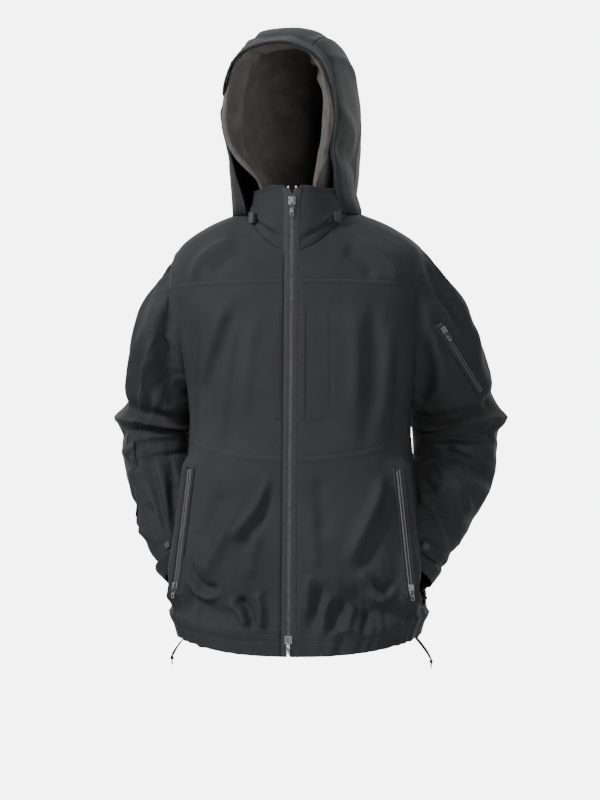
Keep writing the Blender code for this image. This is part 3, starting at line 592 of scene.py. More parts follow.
BACK_FOLDS = (
    (((-0.120, -0.120), (-0.090, -0.230), (-0.070, -0.340)), 0.015, 0.0070),
    (((0.122, -0.120), (0.096, -0.240), (0.060, -0.350)), 0.015, 0.0066),
    (((-0.060, -0.150), (-0.040, -0.260), (-0.030, -0.380)), 0.014, -0.0060),
    (((0.050, -0.160), (0.036, -0.280), (0.020, -0.400)), 0.014, -0.0058),
    (((-0.150, -0.200), (-0.130, -0.300), (-0.120, -0.380)), 0.012, -0.0070),
    (((0.150, -0.210), (0.132, -0.310), (0.124, -0.390)), 0.012, -0.0070),
    (((-0.140, -0.400), (-0.090, -0.440), (-0.030, -0.455)), 0.012, 0.0070),
    (((0.140, -0.405), (0.080, -0.450), (0.020, -0.470)), 0.012, 0.0066),
    (((-0.110, -0.450), (-0.060, -0.500), (0.000, -0.520)), 0.012, -0.0060),
    (((0.120, -0.470), (0.080, -0.540), (0.060, -0.600)), 0.012, 0.0066),
    (((-0.120, -0.500), (-0.090, -0.560), (-0.080, -0.620)), 0.012, 0.0066),
    (((0.010, -0.500), (0.004, -0.570), (0.010, -0.640)), 0.012, 0.0054))
FOLD_RISE = 1.45
# Rough length round the body and down it, and where round the body its side seam lies.
BODY_ROUND, BODY_LONG, SIDE_U = 1.05, 0.78, 0.25
FRONT_SEAMS, BACK_SEAMS = (HEM_V, MID_V, YOKE_V), (HEM_V, BACK_YOKE_V)


def bell(x, middle, width):
    """Smooth bump of height 1."""
    return np.exp(-((x - middle) / width) ** 2)


def seam_height(gap):
    """Groove of a seam with the turned allowance raised beside it."""
    return 0.0009 * bell(gap, 0.0055, 0.0026) - 0.0013 * np.exp(-(gap / 0.0017) ** 2)


def torso_height(u, v, points):
    """How far the cloth stands out from the smooth form."""
    x, z = points[..., 0], points[..., 2]
    aside = np.minimum(u, 1 - u)
    front, back = smooth(0.235, 0.19, aside), smooth(0.265, 0.31, aside)
    height = np.zeros(x.shape)
    for face, folds in ((front, FRONT_FOLDS), (back, BACK_FOLDS)):
        for path, width, rise in folds:
            height += face * ridge(x, z, path, width, FOLD_RISE * rise)
    around = u * BODY_ROUND
    height += 0.0022 * rough_waves(around, z, 11, count=16, low=16, high=60, lean=(1.0, 0.45))
    height += 0.0008 * rough_waves(around, z, 12, count=26, low=90, high=260, lean=(1.0, 0.6))
    gather = rough_waves(around, z * 0.12, 13, count=20, low=150, high=420, lean=(1.0, 0.3))
    near_hem = smooth(0.26, 0.03, v)
    height += gather * (0.0012 + 0.0040 * near_hem) * smooth(0.30, 0.10, v)
    off_zip = smooth(0.02, 0.07, np.abs(x))
    height += 0.0100 * bell(v, 0.105, 0.045) * off_zip
    height -= 0.0045 * bell(v, 0.047, 0.014) * off_zip
    fixed = np.where(points[..., 1] < FRONT_BEFORE_Y, smooth(PANEL_START, 0.050, np.abs(x)), 1.0)
    height *= 0.10 + 0.90 * fixed
    behind = smooth(0.247, 0.253, aside)
    for lines, share in ((FRONT_SEAMS, 1 - behind), (BACK_SEAMS, behind)):
        for line in lines:
            height += share * seam_height((v - line) * BODY_LONG)
    height += seam_height((aside - SIDE_U) * BODY_ROUND) * smooth(0.04, 0.08, v)
    return height


def relax(points, weight, rounds, wrap=False):
    """Even out a grid of points where weight is 1."""
    for _ in range(rounds):
        mean = points.copy()
        mean[1:-1] = (points[:-2] + points[2:] + 2 * points[1:-1]) / 4
        sides = mean.copy()
        sides[:, 1:-1] = (mean[:, :-2] + mean[:, 2:] + 2 * mean[:, 1:-1]) / 4
        if wrap:
            sides[:, 0] = (mean[:, -1] + mean[:, 1] + 2 * mean[:, 0]) / 4
            sides[:, -1] = (mean[:, -2] + mean[:, 0] + 2 * mean[:, -1]) / 4
        points = points + (sides - points) * weight[..., None]
    return points


TORSO_LEVELS = ((0.0, HEM_V, 14), (HEM_V, MID_V, 110), (MID_V, BACK_YOKE_V, 70), (BACK_YOKE_V, YOKE_V, 30),
                (YOKE_V, 1.0, 62))
LEVEL_ROW = np.cumsum([0] + [n for _, _, n in TORSO_LEVELS])
SIDE_COLUMNS, BACK_COLUMNS = 96, 132
LEFT_PART, RIGHT_PART = slice(0, SIDE_COLUMNS + 1), slice(SIDE_COLUMNS + BACK_COLUMNS, None)
BACK_PART = slice(SIDE_COLUMNS, SIDE_COLUMNS + BACK_COLUMNS + 1)


def torso_grid():
    """Folded outer cloth of the whole body, as one grid."""
    rows = np.concatenate([np.linspace(a, b, n + 1)[:-1] for a, b, n in TORSO_LEVELS] + [[1.0]])
    half = curve_through(TORSO[:, 0], TORSO[:, 1:], rows)
    start = np.arcsin((PANEL_START / half[:, 3]) ** (half[:, 5] / 2)) / (2 * math.pi)
    spread = np.linspace(0, 1, SIDE_COLUMNS + 1)
    left = start[:, None] + (SIDE_U - start[:, None]) * spread
    back = np.linspace(SIDE_U, 1 - SIDE_U, BACK_COLUMNS + 1)[1:-1]
    back = np.broadcast_to(back, (len(rows), BACK_COLUMNS - 1))
    u = np.concatenate([left, back, 1 - left[:, ::-1]], axis=1)
    v = np.broadcast_to(rows[:, None], u.shape)
    points = torso_points(u, v)
    pressed = np.linalg.norm(points - torso_points(u, v, -0.05), axis=-1)
    points = relax(points, np.clip(pressed / 0.02, 0, 1) * 0.8, 26)
    normal = -grid_normals(points)
    points = points + normal * torso_height(u, v, points)[..., None]
    for side, _ in SIDES:
        points = settle_round(points, *HAND_ZIPS[side])
    return u, v, points


# ---- zip frames -------------------------------------------------------------------------------
def joint_axis(name):
    """Direction of a joint of the frame."""
    joint = next(j for j in frame["joints"] if j["name"] == name)
    return Vector(joint["axis"]).normalized()


def zip_frame(node, slide, swing):
    """X across the zip, Y into the cloth, Z up along it, from the joints of its slider and pull."""
    along, across = joint_axis(slide), joint_axis(swing)
    if along.z < 0:
        along = -along
    places = [v.co for v in frame["nodes"][node].data.vertices]
    centre = sum(places, Vector()) / len(places)
    inward = along.cross(across)
    if inward.dot(Vector((0, BODY_MID_Y, centre.z)) - centre) < 0:
        across, inward = -across, -inward
    matrix = Matrix((across, inward, along)).transposed().to_4x4()
    back = matrix.inverted()
    local = [back @ p for p in places]
    middle = [(min(p[i] for p in local) + max(p[i] for p in local)) / 2 for i in range(3)]
    matrix.translation = matrix @ Vector(middle)
    length = max(p.z for p in local) - min(p.z for p in local)
    return matrix, length


HAND_ZIPS = {side: zip_frame(f"{name}_hand_pocket_zip", f"{name}_hand_pocket_slide",
                             f"{name}_hand_pocket_pull_swing") for side, name in SIDES}
SLEEVE_ZIP = zip_frame("sleeve_pocket_zip", "sleeve_pocket_slide", "sleeve_pocket_pull_swing")
MAIN_ZIP = Matrix(((1, 0, 0, 0), (0, math.cos(ZIP_TILT), math.sin(ZIP_TILT), front_y(0)),
                   (0, -math.sin(ZIP_TILT), math.cos(ZIP_TILT), 0), (0, 0, 0, 1)))


def settle_round(points, matrix, length, under=0.0014, reach=0.030, flat=0.009):
    """Bring cloth up to just under a strip, fading out around it."""
    back = np.array(matrix.inverted())
    local = points @ back[:3, :3].T + back[:3, 3]
    aside = np.maximum(np.abs(local[..., 0]) - flat, 0)
    beyond = np.maximum(np.abs(local[..., 2]) - length / 2 - 0.002, 0)
    away = np.hypot(aside, beyond)
    weight = smooth(reach, 0, away) * (np.abs(local[..., 1]) < 0.045)
    shift = (under - local[..., 1]) * weight
    return points + np.array(matrix.to_3x3().col[1]) * shift[..., None]


# ---- body panels ------------------------------------------------------------------------------
class Surface:
    """Tells how far points are outside a grid of cloth."""

    def __init__(self, grid):
        self.tree = BVHTree.FromPolygons(grid.reshape(-1, 3).tolist(), grid_faces(*grid.shape[:2]))

    def near(self, point):
        place, normal, _, gap = self.tree.find_nearest(Vector(point))
        side = (Vector(point) - place).dot(normal)
        return np.array(place), np.array(normal), math.copysign(gap, side)



def sleeve_gap(points, raised=0.0):
    """Distance of points from the upper sleeves, negative inside, with the arms raised by an angle."""
    gap = np.full(points.shape[:-1], 1e9)
    for side, _ in SIDES:
        turn = Matrix.Rotation(-raised * side, 3, 'Y')
        pivot = Vector((ARM_PIVOT[0] * side, *ARM_PIVOT[1:]))
        for t in np.linspace(0, UPPER_ARM_T, 46):
            centre, radius, _, _ = sleeve_frame(np.array(t), side)
            centre = np.array(turn @ (Vector(centre) - pivot) + pivot)
            gap = np.minimum(gap, np.linalg.norm(points - centre, axis=-1) - radius)
    return gap


TUCK = 0.008
UPPER_ARM_T = 0.45
ARM_PIVOT = (0.172, 0.0, -0.105)
ARM_RAISE = math.radians(45)
torso_u, torso_v, torso = torso_grid()
torso_surface = Surface(torso)


def body_panels():
    """Cut the body's cloth into its panels, leaving out what the sleeves hide."""
    inside = np.maximum(sleeve_gap(torso), sleeve_gap(torso, ARM_RAISE)) < -TUCK
    full = slice(0, torso.shape[1])
    panels = (("hem_band_cloth", "hem_band", 0, 1, full),
              ("left_lower_front_cloth", "left_lower_front", 1, 2, LEFT_PART),
              ("right_lower_front_cloth", "right_lower_front", 1, 2, RIGHT_PART),
              ("left_chest_cloth", "left_chest_panel", 2, 4, LEFT_PART),
              ("right_chest_cloth", "right_chest_panel", 2, 4, RIGHT_PART),
              ("left_yoke_cloth", "left_yoke", 4, 5, LEFT_PART),
              ("right_yoke_cloth", "right_yoke", 4, 5, RIGHT_PART),
              ("back_panel_cloth", "back_panel", 1, 3, BACK_PART),
              ("back_yoke_cloth", "back_yoke", 3, 5, BACK_PART))
    for name, node, low, high, columns in panels:
        rows = slice(LEVEL_ROW[low], LEVEL_ROW[high] + 1)
        grid, gone = torso[rows, columns], inside[rows, columns]
        keep = ~(gone[:-1, :-1] & gone[1:, :-1] & gone[:-1, 1:] & gone[1:, 1:])
        piece = cloth_piece(name, grid, SHELL, keep=keep)
        attach(piece, "torso", node)


body_panels()


# ---- sleeves ----------------------------------------------------------------------------------
SLEEVE_ROWS, SLEEVE_COLUMNS = 140, 92
HEAD_T, ELBOW_T, CUFF_T = 0.24, 0.50, 0.83
ARM_SHARE, SLACK_ROUND = 0.80, 1.03
SPARE_LENGTH = np.array([(0.0, 1.04), (0.30, 1.08), (0.42, 1.30), (0.56, 1.42), (0.68, 1.22), (0.88, 1.14),
                         (0.94, 1.0), (1.0, 1.0)])
SLEEVE_START_FOLDS = (
    # (t, w) paths across the inside of the bent elbow and down the forearm
    (((0.47, -0.06), (0.50, 0.16), (0.50, 0.40)), 0.012, 0.0060),
    (((0.53, -0.02), (0.54, 0.18), (0.53, 0.44)), 0.009, -0.0070),
    (((0.58, -0.05), (0.57, 0.18), (0.56, 0.42)), 0.010, 0.0060),
    (((0.64, 0.02), (0.62, 0.22), (0.60, 0.46)), 0.009, -0.0050),
    (((0.72, 0.40), (0.66, 0.22), (0.60, 0.06)), 0.010, 0.0050),
    (((0.80, 0.34), (0.73, 0.16), (0.66, -0.04)), 0.010, -0.0050),
    (((0.86, 0.30), (0.79, 0.10), (0.73, -0.10)), 0.010, 0.0045),
    (((0.20, 0.28), (0.32, 0.22), (0.44, 0.10)), 0.013, 0.0045),
    (((0.24, 0.38), (0.36, 0.32), (0.46, 0.22)), 0.012, -0.0045),
    (((0.28, 0.46), (0.38, 0.42), (0.47, 0.34)), 0.012, 0.0050),
    (((0.46, 0.94), (0.53, 0.80), (0.60, 0.70)), 0.012, 0.0050),
    (((0.42, 0.70), (0.52, 0.62), (0.62, 0.56)), 0.011, -0.0050))
SLEEVE_LONG, SLEEVE_ROUND = 0.62, 0.40
ELBOW_FOLD = (
    # the upper sleeve sags over the bent elbow, with a deep shadowed crease under it
    (((0.445, -0.14), (0.455, 0.08), (0.450, 0.26), (0.440, 0.50)), 0.016, 0.0090),
    (((0.500, -0.12), (0.505, 0.10), (0.495, 0.28), (0.480, 0.52)), 0.011, -0.0150),
    (((0.540, -0.10), (0.540, 0.10), (0.535, 0.26), (0.530, 0.50)), 0.0075, 0.0085))
DEEP_FOLDS = {
    -1: ELBOW_FOLD + (
        (((0.08, 0.13), (0.20, 0.15), (0.32, 0.19), (0.40, 0.26), (0.47, 0.40)), 0.011, -0.0105),
        (((0.10, 0.20), (0.22, 0.22), (0.33, 0.26), (0.42, 0.36)), 0.012, 0.0060),
        (((0.36, 0.42), (0.40, 0.36), (0.42, 0.28)), 0.007, -0.0050),
        (((0.57, -0.02), (0.60, 0.12), (0.57, 0.26), (0.55, 0.42)), 0.009, -0.0070),
        (((0.61, 0.00), (0.66, 0.14), (0.66, 0.28), (0.62, 0.44)), 0.010, 0.0060),
        (((0.64, 0.06), (0.70, 0.18), (0.74, 0.30), (0.76, 0.44)), 0.008, -0.0056),
        (((0.68, -0.04), (0.76, 0.08), (0.82, 0.20)), 0.009, 0.0052),
        (((0.72, -0.08), (0.80, 0.03), (0.88, 0.12)), 0.008, -0.0056)),
    1: ELBOW_FOLD + (
        (((0.10, 0.17), (0.22, 0.19), (0.34, 0.24), (0.42, 0.34)), 0.012, -0.0070),
        (((0.26, 0.02), (0.34, 0.08), (0.42, 0.18)), 0.010, -0.0050),
        (((0.30, 0.40), (0.38, 0.36), (0.44, 0.28)), 0.009, -0.0060),
        (((0.57, 0.44), (0.60, 0.30), (0.59, 0.14), (0.56, 0.00)), 0.009, -0.0070),
        (((0.62, 0.46), (0.65, 0.32), (0.66, 0.16), (0.62, 0.00)), 0.010, 0.0062),
        (((0.66, 0.42), (0.70, 0.28), (0.74, 0.14), (0.76, 0.02)), 0.008, -0.0060),
        (((0.72, 0.40), (0.77, 0.26), (0.82, 0.12)), 0.009, 0.0052),
        (((0.77, 0.36), (0.82, 0.22), (0.89, 0.08)), 0.008, -0.0056))}


def sleeve_folds(t, w, folds):
    """Height of listed folds on a sleeve."""
    height = np.zeros(t.shape)
    for path, width, rise in folds:
        path = [(p * SLEEVE_LONG, q * SLEEVE_ROUND) for p, q in path]
        for around in (w, w - 1):
            height += ridge(t * SLEEVE_LONG, around * SLEEVE_ROUND, path, width, rise)
    return height


def sleeve_grid(side):
    """Parameters and points of the smooth sleeve."""
    t = np.linspace(0, 1, SLEEVE_ROWS)[:, None]
    w = np.arange(SLEEVE_COLUMNS)[None, :] / SLEEVE_COLUMNS
    t, w = np.broadcast_arrays(t, w)
    return t, w, sleeve_points(t, w, side)


def slack_tube(side):
    """The same sleeve laid out straight, with the spare length that makes it wrinkle."""
    t, w, points = sleeve_grid(side)
    centre, radius, _, _ = sleeve_frame(t[:, 0], side)
    spare = np.interp(t[:, 0], SPARE_LENGTH[:, 0], SPARE_LENGTH[:, 1])
    steps = np.linalg.norm(np.diff(centre, axis=0), axis=-1) * (spare[1:] + spare[:-1]) / 2
    along = np.concatenate([[0], np.cumsum(steps)])
    reach, turn = radius[:, None] * SLACK_ROUND, 2 * math.pi * w
    return np.stack((reach * np.cos(turn), reach * np.sin(turn) * side,
                     -np.broadcast_to(along[:, None], t.shape)), axis=-1)


SIM_FRAMES = 34


def simulate_sleeve(side, grid, pinned):
    """Lets the slack cloth buckle round an arm-shaped tube, and returns where it came to rest."""
    faces = grid_faces(*grid.shape[:2], wrap=True)
    cloth = plain_object("sleeve_pattern", grid, faces)
    cloth.shape_key_add(name="Basis")
    key = cloth.shape_key_add(name="pattern")
    key.data.foreach_set("co", slack_tube(side).astype(np.float32).ravel())
    key.value = 0
    group = cloth.vertex_groups.new(name="pins")
    for index, weight in enumerate(pinned.ravel()):
        if weight > 0:
            group.add([index], float(weight), 'REPLACE')
    t, w, _ = sleeve_grid(side)
    centre = sleeve_frame(t, side)[0]
    arm = plain_object("arm_form", centre + (sleeve_points(t, w, side) - centre) * ARM_SHARE, faces)
    arm.modifiers.new("collision", 'COLLISION')
    arm.collision.thickness_outer = 0.002
    arm.collision.cloth_friction = 12
    cloth_sim = cloth.modifiers.new("buckle", 'CLOTH')
    settings = cloth_sim.settings
    settings.quality = 7
    settings.mass = 0.12
    settings.tension_stiffness = settings.compression_stiffness = 30
    settings.shear_stiffness = 8
    settings.bending_stiffness = 2.2
    settings.vertex_group_mass = "pins"
    settings.pin_stiffness = 1.5
    settings.rest_shape_key = key
    settings.effector_weights.gravity = 0.25
    cloth_sim.collision_settings.distance_min = 0.002
    cloth_sim.point_cache.frame_start, cloth_sim.point_cache.frame_end = 1, SIM_FRAMES
    scene = bpy.context.scene
    for frame_number in range(1, SIM_FRAMES + 1):
        scene.frame_set(frame_number)
    shown = cloth.evaluated_get(bpy.context.evaluated_depsgraph_get())
    places = np.empty(len(shown.data.vertices) * 3)
    shown.data.vertices.foreach_get("co", places)
    for thing in (cloth, arm):
        mesh = thing.data
        bpy.data.objects.remove(thing)
        bpy.data.meshes.remove(mesh)
    scene.frame_set(1)
    return places.reshape(grid.shape)


SLEEVE_CAP, WRINKLE_GAIN = 0.010, 1.5
HEAD_BURIED_T = 0.22
# How deep the sleeve's root lies in the body, and the clearance kept below it.
ROOT_DEPTH, ROOT_SINK, SIDE_ROOM = 0.004, 0.003, 0.002


def build_sleeve(side):
    """Wrinkled sleeve, sunk into the body at its root and kept off the body's side below."""
    t, w, grid = sleeve_grid(side)
    depth = np.array([torso_surface.near(p)[2] for p in grid.reshape(-1, 3)]).reshape(t.shape)
    root = np.where((t < UPPER_ARM_T) & (depth < ROOT_DEPTH), 1.0, 0.0)
    pinned = np.maximum(root, np.where(t > 0.955, 1.0, 0.0))
    rng = np.random.default_rng(31 + side)
    normal = grid_normals(grid, wrap=True) * -side
    height = rng.normal(0, 0.0005, t.shape)
    height = height + 0.0025 * rough_waves(t * SLEEVE_LONG, w * SLEEVE_ROUND, 33 + side)
    height += sleeve_folds(t, w, SLEEVE_START_FOLDS)
    start = grid + normal * (height * (1 - pinned))[..., None]
    shaped = simulate_sleeve(side, start, pinned)
    moved = shaped - grid
    moved = WRINKLE_GAIN * (moved - relax(moved, np.ones(t.shape), 60, wrap=True))
    length = np.linalg.norm(moved, axis=-1, keepdims=True)
    shaped = grid + moved * np.minimum(1, SLEEVE_CAP / np.maximum(length, 1e-9))
    shaped = relax(shaped, np.full(t.shape, 0.6) * (1 - pinned), 2, wrap=True)
    deep = sleeve_folds(t, w, DEEP_FOLDS[side]) * (1 - np.where(t > 0.94, 1, 0))
    seams = sum(seam_height((t - line) * SLEEVE_LONG) for line in (ELBOW_T, CUFF_T))
    shaped = shaped + normal * (deep + seams)[..., None]
    if side > 0:
        shaped = settle_round(shaped, *SLEEVE_ZIP)
    rise = smooth(0.0, HEAD_BURIED_T, t)
    for i, j in zip(*np.nonzero((t < HEAD_BURIED_T) & (depth > -0.012))):
        _, out, gap = torso_surface.near(shaped[i, j])
        if gap > -ROOT_SINK:
            shaped[i, j] -= out * ((gap + ROOT_SINK) * (1 - rise[i, j]))
    for i, j in zip(*np.nonzero((t > 0.3) & (depth < 0.02))):
        place, out, gap = torso_surface.near(shaped[i, j])
        if -0.010 < gap < SIDE_ROOM and root[i, j] == 0:
            shaped[i, j] = place + out * SIDE_ROOM
    return shaped


SLEEVE_PIECES = (("sleeve_head", 0.0, HEAD_T), ("upper_sleeve", HEAD_T, ELBOW_T),
                 ("forearm", ELBOW_T, CUFF_T), ("cuff", CUFF_T, 1.0))


def sleeves():
    """Cut both sleeves into their pieces and return the whole grids."""
    grids = {}
    for side, name in SIDES:
        shaped = grids[side] = build_sleeve(side)
        for part, low, high in SLEEVE_PIECES:
            first, last = (int(round(end * (SLEEVE_ROWS - 1))) for end in (low, high))
            grid = shaped[first:last + 1]
            piece = cloth_piece(f"{name}_{part}_cloth", grid, SHELL, wrap=True, flip=side < 0)
            piece.modifiers.new("smooth", 'SUBSURF').levels = 1
            piece.modifiers["smooth"].render_levels = 1
            piece.modifiers.move(1, 0)
            attach(piece, f"{name}_sleeve", f"{name}_{part}")
    return grids


sleeve_grids = sleeves()


# ---- hood and collar --------------------------------------------------------------------------
HOOD_S_ROWS, HOOD_T_COLUMNS = 112, 168
GUSSET_S = 0.43
CROWN_T = (0.36, 0.64)
HOOD_FOLDS = (
    # (s, t) paths: from the brim back over the crown, and down the sides to the adjusters
    (((0.02, 0.30), (0.16, 0.27), (0.34, 0.24)), 0.011, 0.0040),
    (((0.02, 0.72), (0.18, 0.74), (0.36, 0.78)), 0.011, 0.0042),
    (((0.05, 0.42), (0.20, 0.40), (0.40, 0.36)), 0.012, -0.0032),
    (((0.05, 0.60), (0.22, 0.62), (0.42, 0.66)), 0.012, -0.0030),
    (((0.03, 0.16), (0.16, 0.13), (0.36, 0.10)), 0.012, 0.0045),
    (((0.05, 0.08), (0.22, 0.06), (0.44, 0.05)), 0.010, -0.0045),
    (((0.03, 0.86), (0.18, 0.89), (0.38, 0.92)), 0.012, 0.0045),
    (((0.05, 0.93), (0.22, 0.95), (0.44, 0.95)), 0.010, -0.0045),
    (((0.46, 0.15), (0.52, 0.50), (0.46, 0.85)), 0.016, -0.0048),
    (((0.60, 0.12), (0.64, 0.50), (0.60, 0.88)), 0.016, 0.0044),
    (((0.72, 0.10), (0.77, 0.50), (0.72, 0.90)), 0.015, -0.0040))
HOOD_DEEP, HOOD_OVER = 0.34, 0.62
HOOD_MIDDLE = np.array((0, 0.02, 0.10))


def facing_from(normals, points, middle):
    """The same normals, turned together to face away from a middle point."""
    return normals * np.sign((normals * (points - middle)).sum())


def hood_grid():
    """Folded and seamed outer cloth of the hood."""
    s = np.linspace(0, 1, HOOD_S_ROWS)[:, None]
    t = np.linspace(0, 1, HOOD_T_COLUMNS)[None, :]
    s, t = np.broadcast_arrays(s, t)
    points = hood_points(s, t)
    points[..., 2] -= 0.011 * smooth(0.040, 0.004, points[..., 2]) * smooth(0.60, 0.40, s)
    a, b = s * HOOD_DEEP, t * HOOD_OVER
    height = np.zeros(s.shape)
    for path, width, rise in HOOD_FOLDS:
        height += ridge(a, b, [(p * HOOD_DEEP, q * HOOD_OVER) for p, q in path], width, rise)
    height += 0.0022 * rough_waves(a, b, 21, count=16, low=18, high=60)
    height += 0.0007 * rough_waves(a, b, 22, count=24, low=90, high=240)
    for line in CROWN_T:
        gap = (t - line) * HOOD_OVER
        seam = smooth(GUSSET_S + 0.02, GUSSET_S - 0.02, s)
        height -= seam * 0.0011 * np.exp(-(gap / 0.0016) ** 2)
    height -= 0.0011 * np.exp(-((s - GUSSET_S) * HOOD_DEEP / 0.0016) ** 2)
    edge = s * HOOD_DEEP
    height += 0.0016 * bell(edge, 0.006, 0.006) - 0.0012 * bell(edge, 0.020, 0.002)
    height += 0.0022 * np.exp(-(edge / 0.014) ** 2) * np.sin(t * 47 + 2 * np.sin(t * 13))
    normal = facing_from(grid_normals(points), points, HOOD_MIDDLE)
    return points + normal * height[..., None]


def show_hood():
    """Cut the hood's cloth into its sides, crown and gusset."""
    grid = hood_grid()
    gusset = int(round(GUSSET_S * (HOOD_S_ROWS - 1)))
    low, high = (int(round(c * (HOOD_T_COLUMNS - 1))) for c in CROWN_T)
    panels = (("right_hood_side", slice(0, gusset + 1), slice(0, low + 1)),
              ("hood_crown", slice(0, gusset + 1), slice(low, high + 1)),
              ("left_hood_side", slice(0, gusset + 1), slice(high, None)),
              ("hood_gusset", slice(gusset, None), slice(0, None)))
    for node, rows, columns in panels:
        piece_grid = grid[rows, columns]
        piece = cloth_piece(f"{node}_cloth", piece_grid, SHELL, wall=THIN_CLOTH)
        hang_on_hood(piece, node)


def hang_on_hood(piece, node):
    """Bake the cloth's placement into its mesh and hide the hood node it stands for."""
    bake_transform(piece)
    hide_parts(node)


BAND_DEPTH = 0.030


def show_lining():
    """Fleece inside the hood: a thick hemmed band round the face, then plain fleece to the nape."""
    s = np.concatenate([np.linspace(-0.004, 0.10, 34), np.linspace(0.10, 0.97, 70)[1:]])[:, None]
    t = np.linspace(0, 1, HOOD_T_COLUMNS)[None, :]
    s, t = np.broadcast_arrays(s, t)
    points = hood_points(np.maximum(s, 0), t, 0.0034)
    edge = s * HOOD_DEEP
    normal = -facing_from(grid_normals(points), points, HOOD_MIDDLE)
    band = smooth(0.0, BAND_DEPTH - 0.003, edge) * smooth(BAND_DEPTH + 0.004, BAND_DEPTH, edge)
    puff = 0.0020 + 0.0200 * band + 0.0060 * smooth(0.020, 0.040, edge) + 0.0030 * smooth(0.04, 0.07, edge)
    gathers = bell(edge, 0.016, 0.016) * np.sin(t * 41 + 2.2 * np.sin(t * 17))
    puff += (0.0022 + 0.0026 * band) * gathers
    puff += 0.0016 * rough_waves(edge, t * HOOD_OVER, 23, count=18, low=40, high=130)
    puff += 0.0004 * rough_waves(edge, t * HOOD_OVER, 24, count=40, low=300, high=900)
    points = points + normal * puff[..., None]
    drop = smooth(0.115, 0.030, points[..., 2])
    points[..., 0] = points[..., 0] * (1 - 0.40 * drop * np.where(points[..., 0] > 0, 1.12, 0.86))
    points[..., 1] -= 0.006 * np.exp(-(edge / 0.008) ** 2) * (1 - drop)
    rim = hood_grid()[0]
    points[0] = points[0] + (rim - points[0]) * (1 - drop[0])[:, None]
    piece = cloth_piece("hood_lining_fleece", points, FLEECE, wall=0.0022, flip=True)
    hang_on_hood(piece, "hood_lining")


BRIM_T = (0.20, 0.80)
BRIM_FORWARD = np.array((0.0, -0.94, -0.34))
BRIM_DEEP, BRIM_STITCHES, STITCH_DIP = 0.027, (0.009, 0.016, 0.023), 0.0009


def show_brim():
    """Stitched visor along the top of the face opening."""
    t = np.linspace(*BRIM_T, 120)[None, :]
    r = np.linspace(0, 1, 16)[:, None]
    r, t = np.broadcast_arrays(r, t)
    shape = np.sin(np.pi * (t - BRIM_T[0]) / (BRIM_T[1] - BRIM_T[0])) ** 0.55
    root = hood_points(np.full(t.shape, 0.012), t)
    reach = 0.0006 + BRIM_DEEP * shape * r
    grid = root + BRIM_FORWARD * reach[..., None]
    stitched = -0.0007 * sum(bell(reach, place, STITCH_DIP) for place in BRIM_STITCHES)
    lift = 0.0012 + stitched + 0.0008 * np.sin(t * 37 + 1.3) * r
    grid = grid + np.array((0.0, -0.3, 0.95)) * (lift * smooth(0, 0.5, shape))[..., None]
    piece = cloth_piece("hood_brim_cloth", grid, SHELL, wall=0.0030)
    attach(piece, "hood", "hood_brim")


COLLAR_ROUND = 0.50


def collar_height(u, rise, z):
    """Folds, stitched top edge and hollow foot of the collar's cloth."""
    around = u * COLLAR_ROUND
    height = 0.0030 * bell(rise, 0.30, 0.09) * np.sin(around * 60 + 1) ** 2
    height -= 0.0034 * np.exp(-((rise - 0.14 - 0.05 * np.sin(around * 35)) / 0.05) ** 2)
    height += 0.0016 * bell(rise, 0.99, 0.05)
    height -= 0.0010 * bell(rise, 0.88, 0.012)
    height += 0.0016 * rough_waves(around, z * 1.5, 25, count=14, low=30, high=110)
    return height


def show_collar():
    """Outer cloth and fleece lining of both halves of the collar."""
    for side, name in SIDES:
        rise = np.linspace(0, 1, 46)[:, None]
        foot = TORSO[-1, 4]
        half = foot + (COLLAR_HALF_WIDE - foot) * rise
        start = np.arcsin(PANEL_START / half) / (2 * math.pi)
        share = np.linspace(0, 1, 110)[None, :]
        u = start + (0.5 - start) * share
        rise = np.broadcast_to(rise, u.shape)
        points = collar_points(u, rise)
        normal = grid_normals(points)
        outward = points * np.array((1, 1, 0))
        normal = normal * np.sign((normal * outward).sum(axis=-1, keepdims=True))
        calm = smooth(PANEL_START, 0.030, points[..., 0])
        grid = points + normal * (collar_height(u if side > 0 else u + 0.37, rise, points[..., 2])
                                  * (0.12 + 0.88 * calm))[..., None]
        grid[..., 2] += 0.0016 * np.sin(u * 38 + side) * smooth(0.5, 1.0, rise) * calm
        lining = grid - normal * 0.0034
        lining[..., 2] -= 0.0012
        for grid_now, label, material, slot, node in (
                (grid, "cloth", SHELL, "shell_fabric", f"{name}_collar"),
                (lining, "fleece", FLEECE, "fleece", None)):
            grid_now = grid_now * np.array((side, 1, 1))
            piece = cloth_piece(f"{name}_collar_{label}", grid_now, material, wall=THIN_CLOTH,
                                flip=(side < 0) != (label == "fleece"))
            attach(piece, "torso", node)


show_hood()
show_lining()
show_brim()
show_collar()


# ---- zips -------------------------------------------------------------------------------------
def strip(name, matrix, outline, places, material, width_at=None):
    """Sweep an open outline of (x, y) points along z in a zip's frame."""
    outline = np.asarray(outline, float)
    places = np.asarray(places, float)
    grid = np.empty((len(places), len(outline), 3))
    grid[..., 0], grid[..., 1] = outline[:, 0], outline[:, 1]
    grid[..., 2] = places[:, None]
    if width_at is not None:
        grid[..., 0] += width_at(places)[:, None]
    world = placed(matrix, grid)
    facing = np.cross(world[0, -1] - world[0, 0], world[1, 0] - world[0, 0])
    flip = np.dot(facing, -np.array(matrix)[:3, 1]) < 0
    return cloth_piece(name, world, material, wall=0.0006, flip=bool(flip))


TOOTH_HIGH, TOOTH_PITCH, COIL_PITCH = 0.0026, 0.0030, 0.0016


